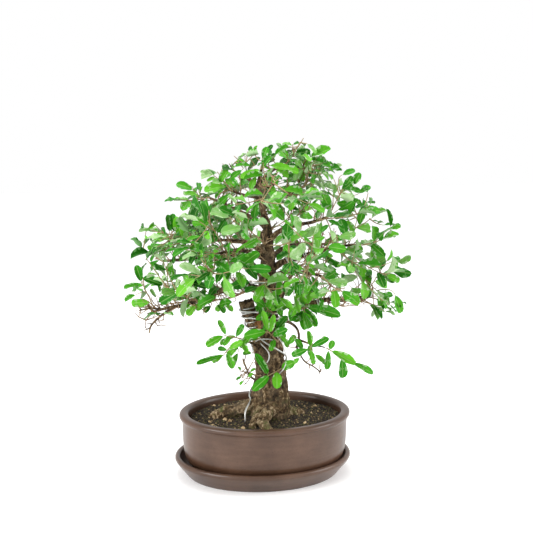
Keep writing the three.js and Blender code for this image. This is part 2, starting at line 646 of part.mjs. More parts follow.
// Shorter twigs leave the first near its middle, to one side and then to the other
function growSideTwig(main, { from, share }, hand, owner, draw) {
  for (let tries = 0; tries < SIDE_TWIG_TRIES; tries += 1) {
    const t = from + 0.25 * draw();
    const along = twigTangent(main, t);
    const aside = along.clone().cross(UP).normalize().multiplyScalar(tries % 2 ? -hand : hand);
    const heading = along.clone().multiplyScalar(0.65).addScaledVector(aside, 0.7 + 0.3 * draw())
      .addScaledVector(UP, 0.5 * draw() - 0.15).normalize();
    const bend = new THREE.Vector3(0, 0, 0.2);
    const twig = { root: twigPoint(main, t), heading, bend, length: main.length * share };
    if (isClear(twigSamples(twig, 0), TWIG_RADIUS + 1.6, owner)) {
      addBalls(twigSamples(twig, 0), TWIG_RADIUS, owner);
      return twig;
    }
  }
  return null;
}

// A leaf blade's samples: five places along it, each at its left, middle and right
function bladeSamples({ root, heading, face, length, width }) {
  const across = face.clone().cross(heading);
  return [0.25, 0.44, 0.63, 0.82, 1].flatMap((share) => [-0.5, 0, 0.5].map((side) => root.clone()
    .addScaledVector(heading, length * share)
    .addScaledVector(across, side * width * (share === 1 ? 0.5 : 1))));
}

// Leaves stand alternately left and right of the twig, faces to the light, the last one ahead
// but for a play to each side
function drawLeaf(twig, place, hand, play, draw) {
  const spread = () => draw() * 2 - 1;
  const along = twigTangent(twig, place);
  const root = twigPoint(twig, place);
  const light = root.clone().sub(CROWN_CENTRE).normalize().multiplyScalar(0.6)
    .add(new THREE.Vector3(0.6 * spread(), 0.6 * spread() - 0.45, 0.4 + 0.4 * spread()));
  const face = squareTo(light, along);
  const open = hand === 0 ? play * spread() : hand * (0.7 + 0.5 * draw());
  const heading = along.multiplyScalar(Math.cos(open))
    .addScaledVector(twigTangent(twig, place).cross(face), Math.sin(open))
    .addScaledVector(face, 0.3 * spread()).addScaledVector(UP, -0.12).normalize();
  const size = (0.8 + 0.32 * draw()) * (1 - 0.14 * place);
  const width = LEAF_WIDTH * size * (0.88 + 0.24 * draw());
  const length = LEAF_LENGTH * size * (0.94 + 0.2 * draw());
  return { root, heading, face: squareTo(face, heading), length, width };
}

function growLeaves(twig, from, owner, draw) {
  const count = Math.round((twig.length * (1 - from)) / LEAF_SPACING) + 1;
  const leaves = [];
  for (let k = 0; k < count; k += 1) {
    const place = from + ((LAST_LEAF_PLACE - from) * k) / (count - 1);
    const hand = k === count - 1 ? 0 : (k % 2) * 2 - 1;
    for (let tries = 0; tries < LEAF_TRIES; tries += 1) {
      const leaf = drawLeaf(twig, place, hand, 0.2 + 0.1 * tries, draw);
      const tip = leaf.root.clone().addScaledVector(leaf.heading, leaf.length);
      if (isInCrown(tip) && isClear(bladeSamples(leaf), BLADE_ROOM, owner)) {
        addBalls(bladeSamples(leaf), BLADE_ROOM, `leaf of ${owner}`);
        leaves.push(leaf);
        break;
      }
    }
  }
  return leaves;
}

// Shoots whose leaves stand out in front of the trunk: the stem's two ends, then each leaf as
// [place on the stem, tip x, y, z, width]
const SHOOTS = [
  { owner: 'shoot_low', stem: [[29, -17, 78], [4, -38, 70]], leaves: [
    [1, -15, -44, 105, 10.5], [0.9, -17, -54, 54, 13], [0.5, 17, -48, 55, 14], [0.25, 40, -32, 88, 13]] },
  { owner: 'shoot_middle', stem: [[18, -22, 116], [3, -40, 136]], leaves: [
    [1, -29, -48, 130, 13.5], [0.92, -3, -42, 165, 9], [0.8, 13, -42, 161, 9], [0.55, 33, -40, 138, 12],
    [0.3, 8, -44, 108, 9]] },
  { owner: 'shoot_upper', stem: [[13, -17, 154], [2, -29, 167]], leaves: [
    [1, -16, -38, 182, 11], [0.85, 9, -38, 192, 10], [0.55, 30, -36, 176, 11], [0.3, -12, -38, 152, 10]] },
  { owner: 'shoot_right', stem: [[48, -18, 160], [56, -28, 168]], leaves: [
    [0.75, 46, -36, 200, 12.5], [0.45, 56, -42, 140, 12.5], [0.6, 73, -42, 143, 11],
    [0.3, 35, -38, 150, 14], [1, 105, -40, 160, 15.6]] },
  { owner: 'shoot_low_left', stem: [[-49.5, -47, 113], [-58, -51, 103]], leaves: [
    [1, -95, -52, 91, 8], [0.85, -74, -46, 93, 9], [0.3, -66, -44, 112, 7], [0.5, -45, -54, 85, 10.5],
    [0.15, -31, -54, 124, 9.5]] },
  { owner: 'shoot_left', stem: [[-34, -45, 126], [-57, -47, 131]], leaves: [
    [1, -82, -48, 116, 12], [0.9, -64, -42, 152, 8], [0.6, -58, -52, 118, 8], [0.15, -24, -49, 106, 8],
    [0.3, -30, -43, 146, 9]] },
  { owner: 'shoot_low_right', stem: [[87, -46, 112], [122, -49, 92]], leaves: [
    [1, 152, -54, 79, 9.5], [0.12, 126, -56, 91, 12.5], [0.6, 110, -50, 69, 13], [0.05, 87, -51, 82, 9.5],
    [0.1, 95, -48, 124, 9]] },
  { owner: 'shoot_right_out', stem: [[66, -42, 117], [62, -52, 113]], leaves: [
    [1, 37, -50, 103, 10.5], [0.7, 60, -48, 138, 8], [0.8, 89, -50, 128, 9], [0.9, 68, -52, 91, 8.5]] },
];

function plannedLeaf(twig, [place, x, y, z, width]) {
  const root = twigPoint(twig, place * LAST_LEAF_PLACE);
  const heading = new THREE.Vector3(x, y, z).sub(root);
  const length = heading.length();
  const leaf = { root, heading: heading.normalize(), length, width };
  return { ...leaf, face: squareTo(new THREE.Vector3(0.1, -1, 0.45), heading) };
}

function growShoot({ owner, stem, leaves }) {
  const [root, end] = stem.map(([x, y, z]) => new THREE.Vector3(x, y, z));
  const length = root.distanceTo(end);
  const twig = { root, heading: end.sub(root).normalize(), bend: new THREE.Vector3(0, 0, 0), length };
  addBalls(twigSamples(twig, 0), TWIG_RADIUS, owner);
  const blades = leaves.map((leaf) => plannedLeaf(twig, leaf));
  blades.forEach((blade) => addBalls(bladeSamples(blade), BLADE_ROOM, owner));
  return { owner, twigs: [twig], leaves: blades };
}

// Growing order: every twig first, then the leaves spray by spray
function growSprays() {
  const sprays = [];
  crownPlaces().forEach((place, k) => {
    const draw = seededDraws(SPRAY_SEED + k);
    const owner = `crown_spray_${k + 1}`;
    const main = growTwig(place, owner, draw);
    if (!main) return;
    const side = growSideTwig(main, SIDE_TWIGS[0], k % 2 ? 1 : -1, owner, draw);
    sprays.push({ owner, draw, twigs: side ? [main, side] : [main] });
  });
  sprays.forEach(({ owner, draw, twigs }, k) => {
    const side = growSideTwig(twigs[0], SIDE_TWIGS[1], k % 2 ? -1 : 1, owner, draw);
    if (side) twigs.push(side);
  });
  return sprays.map(({ owner, draw, twigs }) => {
    const leaves = twigs.flatMap((twig, k) =>
      growLeaves(twig, k ? SIDE_TWIG_BARE : MAIN_TWIG_BARE, owner, draw));
    return { owner, twigs, leaves };
  });
}

// A blade: its root a point in the twig, widest at the middle, blunt tip, keeled below, arched
const BLADE_STATIONS = [
  { share: 0.53, half: 0.5, lift: 1.6, keel: LEAF_KEEL },
  { share: 1, half: 0.2, lift: -0.2, keel: 0.8 },
];

function leafGeometry({ root, heading, face, length, width }) {
  const across = face.clone().cross(heading);
  const at = (share, side, lift) => root.clone().addScaledVector(heading, length * share)
    .addScaledVector(across, side).addScaledVector(face, lift);
  const rings = BLADE_STATIONS.map(({ share, half, lift, keel }) =>
    [at(share, half * width, lift), at(share, -half * width, lift), at(share, 0, lift - keel)]);
  return skin(rings, root.clone());
}

function twigGeometry(twig) {
  const start = squareTo(new THREE.Vector3(0.31, 0.17, 0.94), twig.heading);
  return skin([0, 0.5, 1].map((t) => {
    const along = twigTangent(twig, t);
    const across = squareTo(start, along);
    const third = along.clone().cross(across);
    const radius = TWIG_RADIUS * (1 - 0.3 * t);
    return [0, 1, 2].map((side) => twigPoint(twig, t)
      .addScaledVector(across, radius * Math.cos((side / 3) * TURN))
      .addScaledVector(third, radius * Math.sin((side / 3) * TURN)));
  }));
}

// The tree: wood, wires, then the leafy sprays grown round them
const tree = new THREE.Group();
tree.rotation.z = TREE_TURN;
tree.position.z = SOIL_LEVEL;
tree.updateMatrixWorld(true);
const wood = [...LIMBS.map((one) => limbGeometry(one)), ...LIMBS.flatMap(thornsOf)];
tree.add(part('tree_wood', joined(wood), 0x8a7152, 0.9));

const wires = wirePaths();
for (const [name, { path, radius }] of Object.entries(wires)) {
  tree.add(part(name, wireGeometry(path, radius), 0xc9cbc8, 0.35, 1));
}

LIMBS.forEach(addLimbBalls);
Object.values(wires).forEach(addWireBalls);
for (const { owner, twigs, leaves } of [...SHOOTS.map(growShoot), ...growSprays()]) {
  const blades = leaves.map(leafGeometry);
  tree.add(part(owner, joined([...twigs.map(twigGeometry), ...blades]), 0x3f8a22, 0.5));
}

// The soil has plain holes where the wood and the wire's end stand in it
const wireEnd = wires.training_wire_trunk.path.slice(0, 4);
wireEnd[0] = wireEnd[0].clone().setZ(wireEnd[0].z - FIT_GAP);
const holes = [TRUNK, ...ROOTS].map((one) => limbGeometry(one, FIT_GAP));
holes.push(wireGeometry(wireEnd, WIRE_RADIUS + FIT_GAP * 1.5));
const cutters = holes.map((hole) => toSolid(hole.applyMatrix4(tree.matrixWorld)));
cutters.push(...DRAIN_PLACES.map((x) => netSolid(x, 2 * FIT_GAP)));

const bonsai = new THREE.Group();
bonsai.add(part('saucer', saucerGeometry(), 0x745b4d, 0.5));
bonsai.add(part('pot', potGeometry(), 0x6f584a, 0.5));
bonsai.add(part('drainage_net_left', netGeometry(DRAIN_PLACES[0]), 0x1c1c1c, 0.6));
bonsai.add(part('drainage_net_right', netGeometry(DRAIN_PLACES[1]), 0x1c1c1c, 0.6));
bonsai.add(part('soil', soilGeometry(cutters), 0x3a3020, 1));
bonsai.add(tree);

export default bonsai;
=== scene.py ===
# %% [markdown]
# # A thorny olive grown as a bonsai
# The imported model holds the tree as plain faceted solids: pot, saucer, soil, wood, wires and
# leafy sprays. This notebook gives each of them the surface of the real thing, where its solid
# stands, and adds what is too fine for solids: side twigs, bare twigs, small leaves and grains.

# %% Load the frame
import itertools
import math
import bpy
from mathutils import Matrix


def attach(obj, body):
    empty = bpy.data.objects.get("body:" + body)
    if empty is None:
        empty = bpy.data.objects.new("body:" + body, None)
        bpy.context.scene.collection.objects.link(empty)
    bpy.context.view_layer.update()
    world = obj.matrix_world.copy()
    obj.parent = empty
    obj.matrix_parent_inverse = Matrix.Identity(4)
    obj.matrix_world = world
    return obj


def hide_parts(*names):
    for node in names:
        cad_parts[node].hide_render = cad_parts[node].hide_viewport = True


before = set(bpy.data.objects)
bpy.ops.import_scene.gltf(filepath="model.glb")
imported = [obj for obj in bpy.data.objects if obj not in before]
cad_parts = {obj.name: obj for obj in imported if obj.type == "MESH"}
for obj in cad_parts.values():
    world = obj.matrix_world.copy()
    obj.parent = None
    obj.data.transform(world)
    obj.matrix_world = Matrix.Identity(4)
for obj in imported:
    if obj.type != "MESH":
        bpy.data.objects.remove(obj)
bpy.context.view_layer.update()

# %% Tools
from types import SimpleNamespace

import bpy
import numpy as np
from mathutils import Vector

# %% [markdown]
# ## The view
# The tree is seen from 1.5 m in front and a little above, through a short telephoto lens. In the
# photograph the pot is turned by 10.5 degrees. Here it stays square to the frame, as it was
# packed, and the camera goes round it by as much.

# %% Camera
TREE_TURN = math.radians(-10.5)
CAMERA_RISE = math.radians(10)
CAMERA_DISTANCE = 1.5
CAMERA_TARGET = Vector((0.00226, -0.00042, 0.305))
LENS_MM = 71.33
SENSOR_MM = 36

flat = math.cos(CAMERA_RISE)
back = Vector((math.sin(TREE_TURN) * flat, -math.cos(TREE_TURN) * flat, math.sin(CAMERA_RISE)))
camera = bpy.data.objects.new("camera", bpy.data.cameras.new("camera"))
camera.data.lens = LENS_MM
camera.data.sensor_width = SENSOR_MM
camera.location = CAMERA_TARGET + back * CAMERA_DISTANCE
camera.rotation_euler = (-back).to_track_quat("-Z", "Y").to_euler()
bpy.context.scene.collection.objects.link(camera)
bpy.context.scene.camera = camera
print("camera at", [round(c, 3) for c in camera.location])

# %% [markdown]
# ## Nodes by short helpers
# Shader trees and Geometry Nodes trees are made of the same bricks: a node, its settings, and
# what goes into its sockets. One helper adds a node and links or sets each input, so that a
# finish below reads as a list of steps.

# %% Node helpers


def socket(sockets, key):
    """A socket by number, or the one of that name that the node's settings leave in use"""
    if isinstance(key, int):
        return sockets[key]
    return next(one for one in sockets if one.name == key and one.enabled)


def add(tree, kind, inputs=None, **settings):
    """A node with its settings; an input is a value or another node's output"""
    one = tree.nodes.new(kind)
    for name, value in settings.items():
        setattr(one, name, value)
    for key, value in (inputs or {}).items():
        target = socket(one.inputs, key)
        if isinstance(value, bpy.types.NodeSocket):
            tree.links.new(value, target)
        else:
            target.default_value = value
    return one


def maths(tree, operation, *values):
    return add(tree, "ShaderNodeMath", dict(enumerate(values)), operation=operation).outputs[0]


def mixed(tree, factor, a, b, blend="MIX"):
    mix = add(tree, "ShaderNodeMix", {0: factor, 6: a, 7: b}, data_type="RGBA", blend_type=blend)
    return mix.outputs[2]


def ramp(tree, factor, stops):
    """A colour ramp; each stop is a place and a colour, or one number for a grey"""
    one = add(tree, "ShaderNodeValToRGB", {0: factor})
    elements = one.color_ramp.elements
    while len(elements) < len(stops):
        elements.new(0.5)
    for element, (place, colour) in zip(elements, stops):
        element.position = place
        element.color = (*np.broadcast_to(colour, 3), 1)
    return one.outputs[0]


def noise(tree, vector, scale, detail=3, roughness=0.55):
    inputs = {"Vector": vector, "Scale": scale, "Detail": detail, "Roughness": roughness}
    return add(tree, "ShaderNodeTexNoise", inputs).outputs[0]


def attribute(tree, name):
    return add(tree, "ShaderNodeAttribute", attribute_name=name).outputs["Fac"]


def new_finish(name, roughness, specular=0.5, metallic=0.0):
    """A material, its tree, its shader, and the place on the piece that patterns follow"""
    finish = bpy.data.materials.new(name)
    finish.use_nodes = True
    tree = finish.node_tree
    shader = next(one for one in tree.nodes if one.type == "BSDF_PRINCIPLED")
    shader.inputs["Roughness"].default_value = roughness
    shader.inputs["Specular IOR Level"].default_value = specular
    shader.inputs["Metallic"].default_value = metallic
    place = add(tree, "ShaderNodeTexCoord").outputs["Object"]
    return finish, tree, shader, place


def paint(tree, shader, colour):
    tree.links.new(colour, shader.inputs["Base Color"])


def bump(tree, shader, height, strength, distance):
    inputs = {"Height": height, "Strength": strength, "Distance": distance}
    normal = add(tree, "ShaderNodeBump", inputs).outputs[0]
    tree.links.new(normal, shader.inputs["Normal"])


def scaled(tree, vector, scale):
    return add(tree, "ShaderNodeMapping", {"Vector": vector, "Scale": scale}).outputs[0]


def noisy_finish(name, roughness, pattern, stops, grain=(), **shine):
    """A finish coloured by one noise, and bumped by a finer one or by the same"""
    finish, tree, shader, place = new_finish(name, roughness, **shine)
    drift = noise(tree, place, *pattern)
    paint(tree, shader, ramp(tree, drift, stops))
    if grain:
        *fine, strength, distance = grain
        height = noise(tree, place, *fine) if fine else drift
        bump(tree, shader, height, strength, distance)
    return finish


# %% [markdown]
# ## Meshes by short helpers
# The pieces are worked out as lists of points and faces with numpy, and become Blender meshes in
# one place. A piece's object stays at the origin; its place is in its points.

# %% Mesh helpers
MM = 0.001
TURN = 2 * math.pi
SQUARE = ((-1, -1), (1, -1), (1, 1), (-1, 1))


def new_mesh(name, points, faces, smooth=True):
    mesh = bpy.data.meshes.new(name)
    mesh.from_pydata([tuple(p) for p in points], [], [tuple(int(i) for i in f) for f in faces])
    mesh.validate()
    if smooth:
        mesh.shade_smooth()
    return mesh


def new_piece(name, mesh, finish, slot, *nodes):
    """A finished piece: it rides on the one body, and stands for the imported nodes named"""
    piece = bpy.data.objects.new(name, mesh)
    bpy.context.scene.collection.objects.link(piece)
    if finish:
        mesh.materials.clear()
        mesh.materials.append(finish)
    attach(piece, "root")
    if nodes:
        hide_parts(*nodes)
    return piece


def ring_faces(rings, count):
    """Quads between rings of equal counts, and last a face on each end"""
    faces = []
    for ring in range(rings - 1):
        for side in range(count):
            after = (side + 1) % count
            a, b = ring * count, (ring + 1) * count
            faces.append((a + side, a + after, b + after, b + side))
    faces.append(tuple(range(count))[::-1])
    faces.append(tuple((rings - 1) * count + side for side in range(count)))
    return faces


def set_attribute(mesh, name, kind, values, domain="POINT"):
    field = "vector" if kind == "FLOAT_VECTOR" else "value"
    mesh.attributes.new(name, kind, domain).data.foreach_set(field, np.asarray(values).ravel())


# %% [markdown]
# ## Soft noise in the hand
# Bark and soil are uneven in the round, not only in colour, so their points are moved by random
# heights on the corners of a lattice, blended smoothly between. The heights come from the
# corners' own numbers, so every run gives the same surface.

# %% Lattice noise
CORNER_FACTORS = (73856093, 19349663, 83492791)
SEED_FACTOR = 2654435761
STIR_FACTOR = 1274126177


def lattice_noise(points, cell, seed):
    """Smooth noise from -1 to 1 at each point, with hills about one cell wide"""
    places = np.asarray(points, float) / cell
    base = np.floor(places).astype(np.int64)
    share = places - base
    share = share * share * (3 - 2 * share)
    total = np.zeros(len(places))
    for corner in itertools.product((0, 1), repeat=3):
        x, y, z = ((base + corner) * CORNER_FACTORS).T
        stirred = (x ^ y ^ z ^ seed * SEED_FACTOR) & 0xFFFFFFFF
        stirred = ((stirred ^ (stirred >> 13)) * STIR_FACTOR) & 0xFFFFFFFF
        height = ((stirred ^ (stirred >> 16)) & 0xFFFF) / 0x7FFF - 1
        total += height * np.prod(np.where(corner, share, 1 - share), axis=1)
    return total


# %% [markdown]
# ## The tree's own plan
# The imported model was grown by a rule: listed branches, then twigs and leaves placed by
# seeded draws, each kept clear of what already grew. The same rule runs again here, in
# millimetres in the tree's own front view (x right, y away, z above the soil), because the fine
# leaves must hang where the plain ones do. `placed` turns that plan into the frame's metres.

# %% From the plan to the frame
SOIL_LEVEL = 85
FIT_GAP = 0.35
UP = np.array((0.0, 0.0, 1.0))


def turned(directions):
    x, y, z = np.asarray(directions, float).reshape(-1, 3).T
    cosine, sine = math.cos(TREE_TURN), math.sin(TREE_TURN)
    return np.stack((x * cosine - y * sine, x * sine + y * cosine, z), 1)


def placed(points):
    return (turned(points) + SOIL_LEVEL * UP) * MM


def unit(vector):
    return vector / np.linalg.norm(vector, axis=-1, keepdims=True)


def square_to(vector, along):
    return unit(vector - along * np.sum(vector * along, axis=-1, keepdims=True))


def seeded_draws(seed):
    """A function that gives the same numbers from 0 to 1 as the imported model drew"""
    mask = 0xFFFFFFFF
    state = seed

    def draw():
        nonlocal state
        state = (state + 0x6D2B79F5) & mask
        value = ((state ^ (state >> 15)) * (state | 1)) & mask
        value = (value ^ (value + (value ^ (value >> 7)) * (value | 61))) & mask
        return (value ^ (value >> 14)) / (mask + 1)

    return draw


def spread(draw):
    """Three draws from -1 to 1"""
    return np.array([draw() * 2 - 1 for _ in range(3)])


def between(limits, share):
    return limits[0] + (limits[1] - limits[0]) * share


# %% [markdown]
# ## Limbs
# A limb is round, thinner towards its end and, on the trunk and roots, fluted. Here it is a list
# of points with a radius at each: a smooth curve gives its middle, and a circle that swells with
# the flutes its bark.

# %% Smooth curves through given points


def spline(points, t):
    """Smooth curve through the points, at shares t of the way"""
    last = len(points) - 1
    place = np.clip(t, 0, 1) * last
    i = np.minimum(np.floor(place).astype(int), last - 1)
    f = np.asarray(place - i)[..., None]
    longer = np.vstack((2 * points[0] - points[1], points, 2 * points[-1] - points[-2]))
    a, b, c, d = (longer[i + k] for k in range(4))
    return 0.5 * (2 * b + (c - a) * f + (2 * a - 5 * b + 4 * c - d) * f * f
                  + (3 * b - a - 3 * c + d) * f * f * f)


def tangent(points, t):
    step = 0.01
    return unit(spline(points, np.minimum(t + step, 1)) - spline(points, np.maximum(t - step, 0)))


def limb(name, points, radii, rings=None, flute=0.0, thorns=0):
    points = np.array(points, float)
    least = int(np.argmin(np.abs(points[-1] - points[0])))
    return SimpleNamespace(
        name=name, points=points, radii=np.array(radii, float), reference=np.eye(3)[least],
        rings=rings or max(2, len(points) - 1), flute=flute, thorns=thorns)


def thickness(one, t):
    last = len(one.radii) - 1
    return np.interp(np.clip(t, 0, 1) * last, np.arange(last + 1), one.radii)


def fullest(one, t):
    """How far the crests of a limb's flutes reach from its middle"""
    return thickness(one, t) * (1 + 1.6 * one.flute)


def path_length(points):
    return np.linalg.norm(np.diff(points, axis=0), axis=1).sum()


def core_point(one, t):
    """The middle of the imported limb, straight from ring to ring"""
    place = np.clip(t, 0, 1) * one.rings
    i = np.minimum(np.floor(place), one.rings - 1)
    start = spline(one.points, i / one.rings)
    end = spline(one.points, (i + 1) / one.rings)
    return start + (end - start) * np.asarray(place - i)[..., None]


def bark_point(one, t, angle, gap=0.0):
    along = tangent(one.points, t)
    across = square_to(one.reference, along)
    third = np.cross(along, across)
    swell = 1 + one.flute * (np.cos(3 * angle + 6 * t) + 0.6 * np.cos(5 * angle - 9 * t))
    radius = np.asarray(thickness(one, t) * swell + gap)[..., None]
    angle = np.asarray(angle)[..., None]
    return spline(one.points, t) + radius * (across * np.cos(angle) + third * np.sin(angle))


# %% The limbs of this tree
TRUNK = limb("trunk", [
    (9, 2, -30), (9, 1, -14), (8, 0, 4), (8.5, 0, 20), (9, -1, 38), (10, -1, 55), (9, -1, 73),
    (7, -1, 91), (4, -1, 109), (3, 0, 127), (2, 0, 143), (4, 2, 160), (4, 2, 177), (4, 3, 205),
    (4, 3, 225), (4, 2, 245), (4, 1, 264), (3, 0, 280), (-2, 0, 296), (-5, 0, 314), (-8, 0, 328),
    (-8, 1, 340), (-4, 0, 363),
], [18, 24, 29, 29, 26, 23.2, 20.6, 20.2, 20.8, 19.4, 16.6, 15, 14.4, 12.4, 10, 8.4,
    6.6, 5.2, 4.6, 4.2, 3.8, 3.3, 1.7], rings=21, flute=0.05)

STUB = limb("deadwood_stub", [
    (0, -1, 112), (-12, -3, 127), (-19, -4, 143), (-24, -4, 157), (-27, -4, 171),
], [9, 8.6, 8.8, 9.6, 10.4], rings=5, flute=0.06)

ROOTS = [
    limb("root_left", [(0, -4, 18), (-24, -5, 14), (-42, -8, 9), (-56, -10, 7), (-72, -6, 1),
                       (-84, 0, -10)], [17, 12, 9.5, 9, 7, 3], flute=0.09),
    limb("root_front_left", [(2, -6, 16), (-8, -28, 8), (-15, -44, 2), (-20, -58, -10)],
         [14, 8, 6, 3], flute=0.08),
    limb("root_front", [(8, -8, 16), (3, -30, 14), (-3, -48, 8), (2, -62, 2), (16, -70, -8)],
         [15, 9, 7.5, 6.5, 3], flute=0.08),
    limb("root_right", [(12, 0, 12), (36, 6, 3), (54, 14, -3), (66, 20, -10)],
         [15, 9.5, 7, 3], flute=0.07),
    limb("root_back", [(8, 6, 12), (4, 32, 4), (-4, 50, -3), (-9, 60, -10)],
         [15, 9, 6.5, 3], flute=0.07),
]

BRANCHES = [
    limb("left_low", [
        (0, 0, 183), (-14, -5, 189), (-28, -9, 194), (-46, -15, 194), (-66, -19, 187),
        (-88, -22, 178), (-114, -22, 169), (-142, -20, 163), (-166, -18, 155),
    ], [6.6, 6, 5.4, 4.8, 4.2, 3.6, 2.9, 2.1, 1.3], thorns=3),
    limb("left_low_fork", [(-128, -21, 166), (-146, -24, 154), (-160, -22, 140), (-164, -20, 128)],
         [2.1, 1.7, 1.3, 1], thorns=2),
    limb("left_low_tip", [(-146, -20, 162), (-160, -26, 165), (-176, -32, 163)], [1.8, 1.4, 0.9],
         thorns=1),
    limb("left_main", [
        (2, 2, 200), (-10, 2, 214), (-27, 0, 229), (-46, -4, 234), (-68, -8, 233),
        (-92, -12, 235), (-120, -14, 232), (-144, -12, 230),
    ], [6, 5, 4.4, 4, 3.5, 3, 2.3, 1.6]),
    limb("left_middle", [(3, 2, 272), (-10, 5, 285), (-24, 8, 292), (-41, 9, 300), (-61, 9, 310),
                         (-78, 8, 317)], [3.4, 3.2, 2.8, 2.4, 2, 1.4]),
    limb("left_high", [(-6, 0, 318), (-19, -8, 321), (-32, -14, 324), (-47, -19, 331)],
         [2.8, 2.4, 2, 1.4]),
    limb("left_back", [(3, 3, 236), (-19, 32, 246), (-45, 56, 249), (-74, 74, 246)],
         [4.4, 3.6, 2.7, 1.6]),
    limb("left_front", [(2, 0, 230), (-21, -34, 246), (-42, -60, 253), (-66, -80, 251)],
         [4, 3.2, 2.4, 1.4]),
    limb("right_low", [
        (8, 0, 174), (31, -6, 165), (48, -11, 163), (67, -13, 169), (89, -14, 175),
        (115, -14, 174), (140, -13, 180),
    ], [6, 5, 4.4, 3.8, 3.2, 2.4, 1.6], thorns=2),
    limb("right_fork", [(20, -3, 168), (24, -9, 183), (30, -14, 199), (40, -20, 215),
                        (54, -30, 229)], [4.6, 4.4, 3.6, 2.6, 1.5]),
    limb("right_main", [(6, 4, 214), (30, 4, 228), (51, 2, 234), (74, 0, 241), (98, -2, 247),
                        (124, -2, 252)], [5.4, 4.2, 3.6, 3, 2.3, 1.6]),
    limb("right_upper", [(4, 0, 256), (23, -6, 273), (42, -10, 280), (65, -11, 285),
                         (88, -8, 292)], [4.4, 3.5, 2.9, 2.3, 1.5]),
    limb("right_high", [(-4, 0, 302), (13, 8, 314), (34, 14, 322), (55, 17, 332)],
         [3.2, 2.7, 2.1, 1.4]),
    limb("right_back", [(7, 6, 230), (29, 36, 241), (58, 62, 243), (88, 80, 240)],
         [4.4, 3.6, 2.7, 1.6]),
    limb("right_front", [(8, -4, 206), (31, -38, 219), (53, -64, 223), (76, -84, 222)],
         [4.2, 3.2, 2.4, 1.4]),
    limb("top_left", [(-8, 1, 330), (-22, 10, 344), (-38, 14, 351)], [2.6, 2, 1.3]),
    limb("top_right", [(-7, 1, 340), (10, -4, 356), (29, -7, 366)], [2.4, 1.9, 1.3]),
    limb("back_middle", [(3, 4, 246), (-4, 40, 260), (2, 76, 264)], [4, 2.8, 1.5]),
    limb("back_high", [(-5, 2, 308), (-13, 34, 323), (-6, 58, 332)], [2.8, 2.1, 1.3]),
    limb("front_middle", [(3, 0, 234), (-4, -36, 254), (2, -66, 262)], [3.6, 2.6, 1.4]),
    limb("front_high", [(-6, -1, 316), (2, -30, 334), (13, -52, 342)], [2.6, 2, 1.3]),
    limb("low_left", [(-2, -8, 102), (-14, -21, 111), (-24, -31, 118), (-36, -39, 119),
                      (-48, -45, 115)], [2.4, 2, 1.7, 1.5, 1.2]),
    limb("low_twig", [(-6, -8, 52), (-20, -24, 65), (-27, -30, 81), (-31, -32, 94)],
         [1.9, 1.4, 1.2, 0.9], thorns=1),
    limb("low_right", [(10, -4, 136), (22, -12, 142), (34, -18, 143), (45, -26, 136),
                       (48, -30, 123), (44, -33, 110)], [2.6, 2.2, 2, 1.8, 1.6, 1.2]),
    limb("low_right_out", [(47, -30, 121), (65, -38, 116), (84, -44, 113)], [1.5, 1.3, 1.1]),
    limb("low_right_bare", [(44, -33, 112), (55, -36, 92), (68, -38, 84), (78, -40, 77)],
         [1.3, 1.2, 1, 0.8], thorns=2),
]
LIMBS = [TRUNK, STUB, *ROOTS, *BRANCHES]
LIMB = {one.name: one for one in LIMBS}
print(len(LIMBS), "limbs")

# %% [markdown]
# ## The wires' paths
# Soft aluminium wire holds the branches where the grower bent them. A wire drawn tight round the
# trunk and its dead stub touches their outermost points and runs straight between them, so its
# path is the taut string round both; on a branch it is a plain coil.

# %% Wire paths
WIRE_RADIUS = 1.25
GUY_RADIUS = 0.8
CROSSING_HEIGHT = 199
CROSSING_BEARINGS = (-30, -60, -90, -120)
COILS = dict(
    left=dict(one=LIMB["left_low"], from_t=0.2, to_t=0.44, turns=5, start_angle=-2.2),
    right=dict(one=LIMB["right_main"], from_t=0.2, to_t=0.4, turns=3.5, start_angle=0.6),
    guy_top=dict(one=LIMB["right_main"], from_t=0.44, to_t=0.47, turns=1.3,
                 start_angle=0.4 * math.pi, radius=GUY_RADIUS),
    guy_foot=dict(one=LIMB["right_low"], from_t=0.56, to_t=0.59, turns=1.3,
                  start_angle=0.5 * math.pi, radius=GUY_RADIUS))
PACKED_WIRES = dict(step=30, stub_step=12, steps_per_turn=6, play=1.0)
WIRE_START = [(-28, -33, -9), (-28, -32, 4), (-27.5, -27, 16)]
# Bearing round the trunk in degrees, and height
WIRE_STATIONS = [
    (205, 27), (180, 33), (90, 56), (0, 88), (-90, 113), (-180, 139), (-270, 142.5),
    (-360, 146), (-450, 147.5), (-540, 148), (-630, 150), (-720, 153), (-810, 156), (-900, 158),
    (-990, 160),
]


def sections_at(one, z):
    """Circles in which the level z cuts balls along the limb: centres, radii, rises"""
    t = np.arange(81) / 80
    points = spline(one.points, t)
    radii = fullest(one, t)
    rises = np.abs(points[:, 2] - z)
    cut = rises < radii
    return points[cut], np.sqrt(radii[cut] ** 2 - rises[cut] ** 2), rises[cut]


def taut_point(z, degrees, play):
    """Where a string drawn round trunk and stub passes a bearing, and the wire's radius out"""
    points, radii, rises = sections_at(TRUNK, z)
    axis = points[np.argmin(rises)].copy()
    axis[2] = z
    stub_points, stub_radii, _ = sections_at(STUB, z)
    points = np.vstack((points, stub_points))
    radii = np.concatenate((radii, stub_radii))
    aside = np.radians(5 * (np.arange(33) - 16))
    angles = math.radians(degrees) + aside
    headings = np.stack((np.cos(angles), np.sin(angles), np.zeros(33)), 1)
    reaches = ((points - axis) @ headings.T + radii[:, None]).max(0) / np.cos(aside)
    return axis + headings[16] * (reaches.min() + WIRE_RADIUS + play)


def trunk_wire_height(bearing):
    bearings, heights = np.array(WIRE_STATIONS).T
    return np.interp(-bearing, -bearings, heights)


